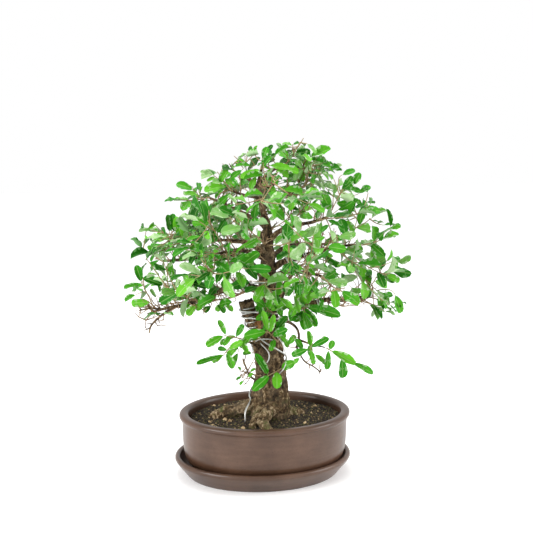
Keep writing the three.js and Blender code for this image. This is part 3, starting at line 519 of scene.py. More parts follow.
def trunk_wire_path(step, stub_step, play):
    path = [np.array(point, float) for point in WIRE_START]
    bearing = WIRE_STATIONS[0][0]
    while bearing >= WIRE_STATIONS[-1][0]:
        path.append(taut_point(trunk_wire_height(bearing), bearing, play))
        at_stub = bearing < 0 and 150 < bearing % 360 < 242
        bearing -= stub_step if at_stub else step
    return np.array(path)


def coil_path(one, from_t, to_t, turns, start_angle, steps_per_turn, radius=WIRE_RADIUS):
    steps = math.ceil(turns * steps_per_turn)
    k = np.arange(steps + 1) / steps
    t = from_t + (to_t - from_t) * k
    reach = (thickness(one, t) + radius + 0.5) / math.cos(math.pi / steps_per_turn)
    return bark_point(one, t, start_angle + turns * k * TURN, reach - thickness(one, t))


def wire_paths(step, stub_step, steps_per_turn, play):
    """Each wire's path and radius, by its node's name"""
    across = [taut_point(CROSSING_HEIGHT, bearing, play) for bearing in CROSSING_BEARINGS]
    coil = {name: coil_path(steps_per_turn=steps_per_turn, **plan) for name, plan in COILS.items()}
    return {
        "training_wire_trunk": (trunk_wire_path(step, stub_step, play), WIRE_RADIUS),
        "training_wire_left": (np.vstack((across, coil["left"])), WIRE_RADIUS),
        "training_wire_right": (coil["right"], WIRE_RADIUS),
        "guy_wire_right": (np.vstack((coil["guy_top"], coil["guy_foot"])), GUY_RADIUS),
    }


# %% [markdown]
# ## What a new twig or leaf has to miss
# The rule keeps everything that has grown as balls, each with its owner, and a twig or leaf is
# tried again until its sample points clear all balls of other owners.

# %% Room to grow
BALL_STEP = 3
BALL_LIMIT = 80000


class Room:
    def __init__(self):
        self.centres = np.zeros((BALL_LIMIT, 3))
        self.radii = np.zeros(BALL_LIMIT)
        self.owners = np.zeros(BALL_LIMIT, int)
        self.count = 0
        self.numbers = {}

    def number(self, owner):
        return self.numbers.setdefault(owner, len(self.numbers))

    def add(self, points, radii, owner):
        points = np.asarray(points, float).reshape(-1, 3)
        fresh = slice(self.count, self.count + len(points))
        self.centres[fresh] = points
        self.radii[fresh] = radii
        self.owners[fresh] = self.number(owner)
        self.count += len(points)

    def is_clear(self, points, radius, owner):
        """Only balls that reach the ball round all the points are looked at closely"""
        middle = points.mean(0)
        span = np.linalg.norm(points - middle, axis=1).max()
        ways = self.centres[:self.count] - middle
        reaches = self.radii[:self.count] + (span + radius)
        near = np.einsum("ij,ij->i", ways, ways) < reaches * reaches
        near &= self.owners[:self.count] != self.number(owner)
        gaps = np.linalg.norm(points[:, None] - self.centres[:self.count][near][None], axis=2)
        return bool((gaps > radius + self.radii[:self.count][near]).all())


room = Room()
for one in LIMBS:
    steps = math.ceil(path_length(one.points) / BALL_STEP)
    shares = np.arange(steps + 1) / steps
    room.add(core_point(one, shares), thickness(one, shares), one.name)
for path, radius in wire_paths(**PACKED_WIRES).values():
    for start, end in zip(path, path[1:]):
        steps = math.ceil(np.linalg.norm(end - start) / BALL_STEP)
        room.add([start + (end - start) * k / steps for k in range(steps)], radius, "wire")
print(room.count, "balls of wood and wire")

# %% [markdown]
# ## The crown of the imported model
# The crown is a broad dome of leafy sprays. Each grows to a place: those on the outline and on
# the near and far face are listed, and the others lie in even layers. A spray has one to
# three twigs, with leaves to the left and right in turn and one at the end.

# %% The crown's shape, and the places that sprays grow to
CROWN_CENTRE = np.array((4.0, 0, 215))
CROWN_TOP = 402
CROWN_LEAN = 30
CROWN_HALF_WIDTH = 204
CROWN_DEPTH_SHARE = 0.8
GOLDEN_SHARE = 0.618034
GOLDEN_TURN = TURN * 0.381966
OUTLINE_PLACES = [
    (-180, -16, 186), (-166, 16, 232), (-136, -14, 276), (-104, 18, 312), (-66, -14, 342),
    (-22, 12, 362), (30, -12, 374), (68, 14, 362), (102, -14, 326), (132, 14, 298),
    (156, -16, 268), (176, 12, 232), (176, -18, 200), (168, -22, 172), (-104, -40, 272),
    (138, -30, 222), (74, -44, 300),
]
FACE_PLACES = [
    (-30, -88, 292), (34, -92, 262), (-28, -80, 222), (62, -84, 312), (-10, -78, 200),
    (-112, -52, 188), (96, -70, 196), (-4, 96, 296), (-62, 92, 214), (58, 96, 220),
]
CROWN_LAYER = dict(count=15, width=0.64, depth=0.76, low=178, high=362, turn=0.9)


def crown_at(z):
    """The dome at a height: the middle's x, and how far it reaches"""
    rise = min(1, abs(z - CROWN_CENTRE[2]) / (CROWN_TOP - CROWN_CENTRE[2]))
    return CROWN_CENTRE[0] + CROWN_LEAN * rise * rise, CROWN_HALF_WIDTH * (1 - rise ** 2.2)


def is_in_crown(point):
    middle, reach = crown_at(point[2])
    return math.hypot(point[0] - middle, point[1] / CROWN_DEPTH_SHARE) < reach


def crown_place(z, angle, width, depth):
    """A place at shares of the dome's reach to the side and in depth"""
    middle, reach = crown_at(z)
    return middle + width * reach * math.cos(angle), depth * reach * math.sin(angle), z


def layer_places(count, width, depth, low, high, turn):
    heights = [low + (high - low) * (k + 0.5) / count for k in range(count)]
    return [crown_place(z, turn + k * GOLDEN_TURN, width, depth) for k, z in enumerate(heights)]


# %% Twigs
TWIG_RADIUS = 0.95
BUD_STEPS = 20
FIRST_BUD = 5
TRUNK_FIRST_BUD = 14
TWIG_TRIES = 30
SIDE_TWIG_TRIES = 8
SIDE_TWIGS = (dict(start=0.35, share=0.6), dict(start=0.6, share=0.55))
TWIG_CLEARANCE = 1.6
PACKED_TWIG = SimpleNamespace(radius=TWIG_RADIUS, lengths=(32, 76), wander=11, rise=0.25,
                              spacing=6)


def new_twig(root, heading, bend, length):
    """A twig bends at half its length, and its stem is drawn up to the share `end`"""
    return SimpleNamespace(root=root, heading=heading, bend=bend, length=length, end=1.0)


def twig_point(twig, t):
    t = np.asarray(t, float)[..., None]
    return twig.root + twig.heading * twig.length * t + (
        twig.bend * twig.length * np.maximum(0, t - 0.5))


def twig_tangent(twig, t):
    return unit(twig.heading + twig.bend * (t > 0.5))


def twig_samples(twig, start=0.0):
    return twig_point(twig, start + (1 - start) * np.arange(13) / 12)


def new_bud(one, t):
    return SimpleNamespace(one=one, t=t, point=core_point(one, t), along=tangent(one.points, t))


def limb_buds():
    return [new_bud(one, step / BUD_STEPS) for one in [TRUNK, *BRANCHES]
            for step in range(TRUNK_FIRST_BUD if one is TRUNK else FIRST_BUD, BUD_STEPS + 1)]


class Buds:
    def __init__(self, buds):
        self.buds = buds
        self.points = np.array([bud.point for bud in buds])
        self.alongs = np.array([bud.along for bud in buds])
        self.ends = np.array([bud.t >= 1 for bud in buds])
        self.free = np.ones(len(buds), bool)

    def best(self, goal):
        """The best free bud for a goal: near by, and growing on rather than back along the limb"""
        ways = goal - self.points
        distances = np.linalg.norm(ways, axis=1)
        cosines = np.sum(ways * self.alongs, axis=1) / distances
        allowed = self.free & np.where(self.ends, cosines > 0.5, cosines < 0.9)
        costs = np.where(allowed, distances * (1.5 - 0.5 * cosines), np.inf)
        best = int(np.argmin(costs))
        return self.buds[best], distances[best]

    def use(self, bud, spacing):
        self.free &= np.linalg.norm(self.points - bud.point, axis=1) >= spacing


def root_on_bark(bud, heading):
    cosine = abs(float(heading @ bud.along))
    sine = math.sqrt(max(0, 1 - cosine * cosine))
    if bud.t >= 1:
        return bud.point + bud.along * (FIT_GAP + TWIG_RADIUS * sine)
    reach = fullest(bud.one, bud.t) + FIT_GAP + TWIG_RADIUS * cosine
    return bud.point + heading * reach / sine


def grow_twig(place, owner, draw, buds, kind, fits):
    """A twig from the best bud to a goal near the place, tried until it fits"""
    for _ in range(TWIG_TRIES):
        goal = spread(draw) * kind.wander + place
        bud, distance = buds.best(goal)
        bend = 0.2 * spread(draw) + kind.rise * UP
        heading = unit(unit(goal - bud.point) - 0.5 * bend)
        root = root_on_bark(bud, heading) if bud.one else bud.point
        twig = new_twig(root, heading, bend, np.clip(distance, *kind.lengths))
        if fits(twig, bud, owner):
            room.add(twig_samples(twig), kind.radius, owner)
            buds.use(bud, kind.spacing)
            return twig
    return None


def packed_twig_fits(twig, bud, owner):
    start = twig_point(twig, np.array((0, 0.05, 0.1)))
    return room.is_clear(start, TWIG_RADIUS + 0.6, bud.one.name) and room.is_clear(
        twig_samples(twig, 0.15), TWIG_RADIUS + TWIG_CLEARANCE, owner)


def grow_side_twig(spray, hand, draw, start, share):
    """One more twig on the spray's first, if it finds room"""
    main, owner = spray.twigs[0], spray.owner
    for tries in range(SIDE_TWIG_TRIES):
        t = start + 0.25 * draw()
        along = twig_tangent(main, t)
        aside = unit(np.cross(along, UP)) * (-hand if tries % 2 else hand)
        heading = along * 0.65 + aside * (0.7 + 0.3 * draw())
        heading = unit(heading + UP * (0.5 * draw() - 0.15))
        twig = new_twig(twig_point(main, t), heading, 0.2 * UP, main.length * share)
        if room.is_clear(twig_samples(twig), TWIG_RADIUS + TWIG_CLEARANCE, owner):
            room.add(twig_samples(twig), TWIG_RADIUS, owner)
            spray.twigs.append(twig)
            break


# %% Leaves along the twigs
LEAF_LENGTH = 32
LEAF_WIDTH = 15
LEAF_SPACING = 14.6
LAST_LEAF_PLACE = 0.96
BLADE_ROOM = 2.6
LEAF_TRIES = 12
MAIN_TWIG_BARE = 0.22
SIDE_TWIG_BARE = 0.25
# How strongly the light from outside, in front and above turns a leaf's face
LEAF_LIGHT = (0.6, 0.45, 0.4)
BLADE_SAMPLES = np.array([(share, side * (0.5 if share == 1 else 1))
                          for share in (0.25, 0.44, 0.63, 0.82, 1) for side in (-0.5, 0, 0.5)])


def blade_samples(leaf):
    across = np.cross(leaf.face, leaf.heading)
    return (leaf.root + BLADE_SAMPLES[:, :1] * leaf.length * leaf.heading
            + BLADE_SAMPLES[:, 1:] * leaf.width * across)


def new_leaf(root, heading, light, length, width):
    return SimpleNamespace(root=root, heading=heading, face=square_to(light, heading),
                           length=length, width=width)


def draw_leaf(twig, place, hand, play, draw, lights=LEAF_LIGHT):
    """A leaf on the twig: to the left (hand -1), to the right (1) or at the end (0)"""
    along = twig_tangent(twig, place)
    root = twig_point(twig, place)
    outside, front, above = lights
    light = unit(root - CROWN_CENTRE) * outside + (
        spread(draw) * (0.6, 0.6, 0.4) + (0, -front, above))
    face = square_to(light, along)
    opening = play * (draw() * 2 - 1) if hand == 0 else hand * (0.7 + 0.5 * draw())
    heading = unit(along * math.cos(opening) + np.cross(along, face) * math.sin(opening)
                   + face * 0.3 * (draw() * 2 - 1) - 0.12 * UP)
    size = (0.8 + 0.32 * draw()) * (1 - 0.14 * place)
    width = LEAF_WIDTH * size * (0.88 + 0.24 * draw())
    length = LEAF_LENGTH * size * (0.94 + 0.2 * draw())
    return new_leaf(root, heading, face, length, width)


def planned_leaf(root, tip, light, width):
    way = np.array(tip) - root
    return new_leaf(root, unit(way), light, np.linalg.norm(way), width)


def leaf_tip(leaf):
    return leaf.root + leaf.heading * leaf.length


def takes_room(leaf, clearance, owner):
    """Whether the leaf has room, which it then takes"""
    samples = blade_samples(leaf)
    is_free = room.is_clear(samples, clearance, owner)
    if is_free:
        room.add(samples, clearance, f"leaf of {owner}")
    return is_free


def grow_leaves(twig, start, owner, draw):
    count = math.floor(twig.length * (1 - start) / LEAF_SPACING + 0.5) + 1
    leaves = []
    for k in range(count):
        place = start + (LAST_LEAF_PLACE - start) * k / (count - 1)
        hand = 0 if k == count - 1 else (k % 2) * 2 - 1
        for tries in range(LEAF_TRIES):
            leaf = draw_leaf(twig, place, hand, 0.2 + 0.1 * tries, draw)
            if is_in_crown(leaf_tip(leaf)) and takes_room(leaf, BLADE_ROOM, owner):
                leaves.append(leaf)
                break
    return leaves


# %% [markdown]
# ## Shoots in front of the trunk
# A few shoots stand free in the picture, where each leaf counts, so they are listed one by one:
# the two ends of the stem, then for each leaf its place on the stem, tip x, y, z and width.

# %% Shoots listed one by one
SHOOTS = {
    "shoot_low": ([(29, -17, 78), (4, -38, 70)], [
        (1, -15, -44, 105, 10.5), (0.9, -17, -54, 54, 13), (0.5, 17, -48, 55, 14),
        (0.25, 40, -32, 88, 13)]),
    "shoot_middle": ([(18, -22, 116), (3, -40, 136)], [
        (1, -29, -48, 130, 13.5), (0.92, -3, -42, 165, 9), (0.8, 13, -42, 161, 9),
        (0.55, 33, -40, 138, 12), (0.3, 8, -44, 108, 9)]),
    "shoot_upper": ([(13, -17, 154), (2, -29, 167)], [
        (1, -16, -38, 182, 11), (0.85, 9, -38, 192, 10), (0.55, 30, -36, 176, 11),
        (0.3, -12, -38, 152, 10)]),
    "shoot_right": ([(48, -18, 160), (56, -28, 168)], [
        (0.75, 46, -36, 200, 12.5), (0.45, 56, -42, 140, 12.5), (0.6, 73, -42, 143, 11),
        (0.3, 35, -38, 150, 14), (1, 105, -40, 160, 15.6)]),
    "shoot_low_left": ([(-49.5, -47, 113), (-58, -51, 103)], [
        (1, -95, -52, 91, 8), (0.85, -74, -46, 93, 9), (0.3, -66, -44, 112, 7),
        (0.5, -45, -54, 85, 10.5), (0.15, -31, -54, 124, 9.5)]),
    "shoot_left": ([(-34, -45, 126), (-57, -47, 131)], [
        (1, -82, -48, 116, 12), (0.9, -64, -42, 152, 8), (0.6, -58, -52, 118, 8),
        (0.15, -24, -49, 106, 8), (0.3, -30, -43, 146, 9)]),
    "shoot_low_right": ([(87, -46, 112), (122, -49, 92)], [
        (1, 152, -54, 79, 9.5), (0.12, 126, -56, 91, 12.5), (0.6, 110, -50, 69, 13),
        (0.05, 87, -51, 82, 9.5), (0.1, 95, -48, 124, 9)]),
    "shoot_right_out": ([(66, -42, 117), (62, -52, 113)], [
        (1, 37, -50, 103, 10.5), (0.7, 60, -48, 138, 8), (0.8, 89, -50, 128, 9),
        (0.9, 68, -52, 91, 8.5)]),
}
SHOOT_LIGHT = np.array((0.1, -1, 0.45))


def new_spray(owner, twigs, leaves, stalks=()):
    return SimpleNamespace(owner=owner, twigs=twigs, leaves=leaves, stalks=stalks)


def grow_shoot(owner, stem, planned):
    root, end = np.array(stem, float)
    twig = new_twig(root, unit(end - root), np.zeros(3), np.linalg.norm(end - root))
    room.add(twig_samples(twig), TWIG_RADIUS, owner)
    leaves = []
    for place, *tip, width in planned:
        leaf = planned_leaf(twig_point(twig, place * LAST_LEAF_PLACE), tip, SHOOT_LIGHT, width)
        leaves.append(leaf)
        room.add(blade_samples(leaf), BLADE_ROOM, owner)
    return new_spray(owner, [twig], leaves)


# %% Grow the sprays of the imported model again
SPRAY_SEED = 5400


def grow_sprays():
    buds = Buds(limb_buds())
    places = [*OUTLINE_PLACES, *FACE_PLACES, *layer_places(**CROWN_LAYER)]
    draws = [seeded_draws(SPRAY_SEED + k) for k in range(len(places))]
    sprays = []
    for k, (place, draw) in enumerate(zip(places, draws)):
        owner = f"crown_spray_{k + 1}"
        main = grow_twig(np.array(place), owner, draw, buds, PACKED_TWIG, packed_twig_fits)
        sprays.append(new_spray(owner, [main], []))
        grow_side_twig(sprays[-1], 1 if k % 2 else -1, draw, **SIDE_TWIGS[0])
    for k, (spray, draw) in enumerate(zip(sprays, draws)):
        grow_side_twig(spray, -1 if k % 2 else 1, draw, **SIDE_TWIGS[1])
    for spray, draw in zip(sprays, draws):
        for k, twig in enumerate(spray.twigs):
            bare = SIDE_TWIG_BARE if k else MAIN_TWIG_BARE
            spray.leaves += grow_leaves(twig, bare, spray.owner, draw)
    return sprays


SPRAYS = [grow_shoot(owner, *plan) for owner, plan in SHOOTS.items()] + grow_sprays()


def tip_gap(spray):
    """How far the fine leaves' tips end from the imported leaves' own points, in millimetres"""
    corners = np.array([corner.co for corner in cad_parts[spray.owner].data.vertices])
    tips = placed([leaf_tip(leaf) for leaf in spray.leaves])
    return np.linalg.norm(tips[:, None] - corners, axis=2).min(1).max() / MM


print(len(SPRAYS), "sprays,", sum(len(spray.leaves) for spray in SPRAYS), "leaves")
print("largest gap to a packed leaf's tip:", round(max(map(tip_gap, SPRAYS)), 2), "mm")

# %% [markdown]
# ## Side twigs between the sprays
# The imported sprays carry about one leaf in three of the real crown. The others grow here by the
# same rule, on finer side twigs that leave either a packed twig or a branch, and that keep clear
# of everything already there. They fill the outer part of the crown evenly, except in the gaps
# through it and in front of the wood that shows bare from the front.

# %% Grow the side twigs
FILL_SEED = 9100
FILL_TWIGS = 330
FILL_HEIGHTS = (166, 380)
FINE_TWIG = SimpleNamespace(radius=0.78, lengths=(16, 50), wander=18, rise=0.2, spacing=0.5)
FINE_BUD_PLACES = (0.15, 0.3, 0.45, 0.6, 0.75, 0.9)
FINE_SIZES = (0.4, 0.94)
FINE_SLIMNESS = 0.78
FINE_SPACING = 8.6
FINE_FIRST_LEAF = 0.14
FINE_LEAF_SPAN = 0.84
FINE_CLEARANCE = 0.8
FINE_ROOM = 1.1
FINE_TRIES = 14
FINE_LIGHT = (0.35, 0.15, 0.85)
# Places that side twigs grow to before the even filling
EXTRA_PLACES = [
    (-4, -10, 374), (12, 6, 384), (22, -22, 368), (8, 22, 374), (2, -34, 362), (-10, 8, 366),
    (30, 10, 386), (-104, 0, 330), (134, 6, 330), (128, -22, 318), (174, 0, 290), (92, -52, 270),
    (88, -20, 262), (98, -64, 280), (134, -22, 262), (128, 22, 266), (98, -52, 234),
    (188, -15, 178), (70, -70, 246), (112, -40, 248), (60, 30, 384), (110, -10, 340),
    (-150, -24, 178), (-136, -8, 187), (-122, -32, 184), (-106, -14, 192), (-92, -34, 186),
    (-162, -10, 172), (-78, -30, 194), (-140, -34, 194), (-112, 4, 186), (-166, -30, 180),
    (-98, -44, 196), (-128, -20, 176), (-84, -14, 184), (-118, 10, 340), (140, -14, 336),
]
# Ovals in the front view: middle's x and height, half width, half height
OPEN_GAPS = [(-150, 302, 46, 26), (-56, 378, 26, 17), (-178, 226, 16, 32), (-26, 306, 13, 26),
             (-16, 240, 9, 14), (-115, 211, 18, 8), (-38, 214, 20, 6), (122, 168, 46, 19),
             (-118, 158, 60, 8)]
BARE_WOOD = [(-4, 262, 14, 24), (-28, 201, 36, 19), (6, 200, 22, 24), (-45, 190, 28, 8),
             (52, 200, 30, 8), (-120, 164, 60, 7), (100, 200, 40, 8), (125, 190, 52, 14)]
BARE_WOOD_DEPTH = 20


def fine_buds():
    return Buds(limb_buds() + [
        SimpleNamespace(one=None, t=t, owner=spray.owner, point=twig_point(twig, t),
                        along=twig_tangent(twig, t))
        for spray in SPRAYS[len(SHOOTS):] for twig in spray.twigs for t in FINE_BUD_PLACES])


def front_view(point):
    """Where the camera sees a point on the upright plane through the trunk: x, and height"""
    sine, cosine = math.sin(CAMERA_RISE), math.cos(CAMERA_RISE)
    distance = CAMERA_DISTANCE / MM
    middle_x, middle_z = CAMERA_TARGET.x / MM, CAMERA_TARGET.z / MM - SOIL_LEVEL
    rise = point[2] - middle_z
    depth = distance + point[1] * cosine - rise * sine
    slope = (point[1] * sine + rise * cosine) / depth
    seen = slope * distance / (cosine + slope * sine)
    return middle_x + (point[0] - middle_x) / depth * (distance - seen * sine), middle_z + seen


def in_gap(point):
    """Whether a point shows in one of the gaps through the crown, or in front of bare wood"""
    x, z = front_view(point)
    gaps = OPEN_GAPS + (BARE_WOOD if point[1] < BARE_WOOD_DEPTH else [])
    return any(((x - gap_x) / wide) ** 2 + ((z - gap_z) / high) ** 2 < 1
               for gap_x, gap_z, wide, high in gaps)


def fill_place(k, draw):
    """A place in the outer part of the crown"""
    z = between(FILL_HEIGHTS, k * GOLDEN_SHARE % 1)
    share = 0.25 + 0.65 * math.sqrt(draw())
    return np.array(crown_place(z, k * GOLDEN_TURN, share, CROWN_DEPTH_SHARE * share))


def fine_twig_fits(twig, bud, _):
    parent = bud.one.name if bud.one else bud.owner
    return room.is_clear(twig_samples(twig, 0.2), FINE_TWIG.radius + FINE_CLEARANCE, parent)


def grow_fine_leaves(twig, owner, draw):
    """Leaves along a side twig, whose stem then ends at its last leaf"""
    count = max(3, round(twig.length * 0.9 / FINE_SPACING))
    leaves = []
    for k in range(count):
        place = FINE_FIRST_LEAF + FINE_LEAF_SPAN * k / (count - 1)
        hand = 0 if k == count - 1 else (k % 2) * 2 - 1
        for tries in range(FINE_TRIES):
            leaf = draw_leaf(twig, place, hand, 0.3 + 0.12 * tries, draw, FINE_LIGHT)
            size = between(FINE_SIZES, draw())
            leaf.length *= size
            leaf.width *= size * FINE_SLIMNESS
            tip = leaf_tip(leaf)
            if in_gap(leaf.root + 0.7 * (tip - leaf.root)):
                continue
            if is_in_crown(tip) and takes_room(leaf, FINE_ROOM, owner):
                leaves.append(leaf)
                twig.end = place
                break
    return leaves


def grow_filling():
    buds = fine_buds()
    grown = []
    for k in range(FILL_TWIGS + len(EXTRA_PLACES)):
        draw = seeded_draws(FILL_SEED + k)
        extra = EXTRA_PLACES[k] if k < len(EXTRA_PLACES) else None
        place = np.array(extra, float) if extra else fill_place(k, draw)
        owner = f"side_twig_{k + 1}"
        if in_gap(place):
            continue
        twig = grow_twig(place, owner, draw, buds, FINE_TWIG, fine_twig_fits)
        leaves = grow_fine_leaves(twig, owner, draw) if twig else []
        if len(leaves) > 1:
            grown.append(new_spray(owner, [twig], leaves))
    return grown


# %% Leaves at bare tips, then the side twigs
TIP_REACH = 7
TIP_TOP = 400
TIP_ROOM = 0.4
TIP_LENGTH_SHARE = 0.6
TIP_WIDTH_SHARE = 0.5
TIP_PLACES = ((1, 0), (0.93, 1), (0.84, -1))


def tip_leaves():
    """Small leaves at the ends of packed twigs that would otherwise end bare"""
    draw = seeded_draws(FILL_SEED - 1)
    leaves = []
    for spray in SPRAYS[len(SHOOTS):]:
        roots = np.array([leaf.root for leaf in spray.leaves])
        for twig in spray.twigs:
            end = twig_point(twig, 1)
            if np.linalg.norm(roots - end, axis=1).min() < TIP_REACH:
                continue
            for place, hand in TIP_PLACES:
                leaf = draw_leaf(twig, place, hand, 0.5, draw)
                leaf.length *= TIP_LENGTH_SHARE
                leaf.width *= TIP_WIDTH_SHARE
                samples = blade_samples(leaf)
                if samples[:, 2].max() > TIP_TOP or in_gap(samples[-2]):
                    continue
                if takes_room(leaf, TIP_ROOM, spray.owner):
                    leaves.append(leaf)
    return leaves


TIP_LEAVES = tip_leaves()
print(len(TIP_LEAVES), "leaves at bare tips")
FILLING = grow_filling()
print(len(FILLING), "side twigs,", sum(len(one.leaves) for one in FILLING), "leaves")

# %% [markdown]
# ## Small leaves set one by one
# Small shoots break from the old wood and stand in front of it, and a few leaves give the top and
# the outer ends their outline. They are plain to see, so they are listed one by one as root x, y,
# z, tip x, y, z and width, and each gets a thin stalk from the nearest wood.

# %% Listed leaves and their stalks
NEAR_LEAVES = [
    (-3, -26, 151, -11, -26, 173, 10), (-4, -24, 159, -13, -24, 167, 9),
    (2, -24, 159, 6, -24, 175, 10), (25, -30, 150, 14, -30, 176, 9.5),
    (32, -34, 153, 47, -34, 170, 13), (35, -32, 151, 49, -32, 149, 11),
    (53, -38, 164, 62, -38, 138, 12.5), (57, -36, 160, 74, -36, 142, 11),
    (23, -26, 161, 36, -26, 172, 9), (-4, -30, 133, 12, -30, 149, 10),
    (16, -32, 135, 32, -32, 155, 11), (13, -28, 146, 28, -28, 138, 10),
    (13, -34, 140, 29, -34, 123, 11.5), (21, -36, 127, 35, -36, 112, 9.5),
    (33, -34, 114, 43, -34, 128, 9), (41, -36, 125, 53, -36, 109, 9.5),
    (63, -44, 99, 63, -44, 115, 8), (49, -44, 98, 40, -44, 90, 7),
    (65, -40, 118, 62, -40, 133, 6.5), (76, -42, 114, 86, -42, 128, 8.6),
    (69, -46, 104, 85, -46, 90, 8.6), (-17, -38, 131, -34, -38, 111, 11.5),
    (-18, -36, 103, -31, -36, 101, 7), (-35, -46, 118, -51, -46, 100, 10),
    (-37, -46, 107, -48, -46, 83, 9.5), (-50, -46, 127, -62, -46, 117, 7),
    (-40, -44, 129, -55, -44, 125, 7), (-8, -34, 124, -28, -34, 119, 8),
    (-41, -34, 63, -34, -34, 67, 4.5), (-30, -34, 62, -36, -34, 56, 4.5),
    (-24, -34, 67, -17, -34, 73, 5), (-21, -32, 74, -13, -32, 79, 4.5),
    (-34, -32, 76, -38, -32, 82, 4), (-44, -44, 178, -64, -44, 175, 13),
    (-66, -48, 186, -92, -50, 174, 16), (-95, -30, 172, -108, -34, 156, 12),
    (-80, -30, 176, -96, -36, 166, 11), (170, -20, 188, 161, -24, 168, 11),
    (183, -20, 184, 192, -22, 157, 13), (62, -6, 375, 92, -8, 386, 14),
    (60, -6, 372, 82, -8, 368, 9), (-100, 0, 329, -124, -2, 338, 13),
    (177, -4, 276, 171, -4, 303, 7), (174, -6, 274, 191, -8, 277, 8),
    (-178, -10, 196, -199, -12, 190, 8), (108, 0, 350, 126, -2, 357, 10),
    (132, 0, 324, 147, -2, 335, 10), (124, 0, 336, 134, -2, 353, 11),
    (-182, -14, 182, -198, -16, 173, 8), (-66, -30, 172, -56, -34, 160, 9),
    (-58, -30, 172, -44, -34, 164, 8), (-62, -22, 170, -68, -26, 161, 9),
    (-76, -24, 168, -86, -28, 160, 9), (-92, -24, 170, -101, -28, 164, 9),
    (-88, -24, 174, -96, -28, 184, 10), (-70, -24, 178, -76, -30, 190, 11),
    (-104, -26, 168, -116, -30, 168, 9), (-112, -26, 178, -124, -30, 184, 10),
    (-54, -24, 182, -50, -30, 194, 9), (4, -24, 366, 47, -28, 356, 13),
    (-4, -22, 362, 8, -26, 378, 11), (-18, -20, 364, -40, -24, 367, 7),
    (-5, -24, 360, -34, -28, 349, 10), (0, -28, 352, -29, -32, 347, 10),
    (-1, -28, 348, 18, -32, 340, 10), (-3, -30, 340, 14, -34, 329, 10),
    (0, -40, 314, 28, -44, 295, 13), (13, -20, 378, 32, -24, 392, 8),
    (-3, -20, 374, 3, -24, 390, 10), (-45, -26, 329, -67, -30, 307, 10),
    (-62, -22, 340, -51, -26, 359, 11), (-56, -24, 348, -43, -28, 336, 10),
    (15, -28, 361, 33, -32, 352, 10), (-12, -26, 351, -20, -30, 334, 9),
    (-31, -22, 359, -47, -26, 348, 9),
]
# Thin bent twigs in front of the foot of the trunk, on the left
TANGLE = [
    [(-6, -22, 66), (-11, -30, 68), (-20, -31, 72), (-27, -30, 74), (-34, -30, 69),
     (-40, -31, 60), (-41, -30, 56)],
    [(-21, -31, 74), (-21, -29, 65), (-27, -30, 56), (-35, -32, 54)],
    [(-31, -32, 94), (-30, -31, 86), (-24, -30, 74), (-18, -27, 65)],
    [(-8, -19, 86), (-13, -26, 87), (-19, -31, 86)],
    [(-27, -30, 74), (-31, -34, 66), (-38, -33, 66)],
]


def wood_points():
    """Points on the middles of limbs and shoots, to hang a stalk on"""
    shares = np.linspace(0.15, 1, 18)
    limbs = [spline(one.points, shares) for one in [TRUNK, *BRANCHES]]
    twigs = [twig_point(twig, shares) for spray in SPRAYS for twig in spray.twigs]
    return np.vstack(limbs + twigs)


def stalk_to(leaf, starts):
    """A bent stalk from the nearest wood to a leaf's root, which it meets along the leaf"""
    start = starts[np.argmin(np.linalg.norm(starts - leaf.root, axis=1))]
    t = np.linspace(0, 1, 7)[:, None]
    handle = leaf.root - leaf.heading * 0.4 * np.linalg.norm(leaf.root - start)
    return (1 - t) ** 2 * start + 2 * t * (1 - t) * handle + t * t * leaf.root


def near_shoots():
    starts = wood_points()
    leaves = [planned_leaf(row[:3], row[3:6], SHOOT_LIGHT + 0.4 * UP, row[6])
              for row in np.array(NEAR_LEAVES)]
    stalks = [stalk_to(leaf, starts) for leaf in leaves]
    return new_spray("shoots_near_the_trunk", [], leaves, stalks)


NEAR_SHOOTS = near_shoots()
print(len(NEAR_LEAVES), "hand-set leaves")
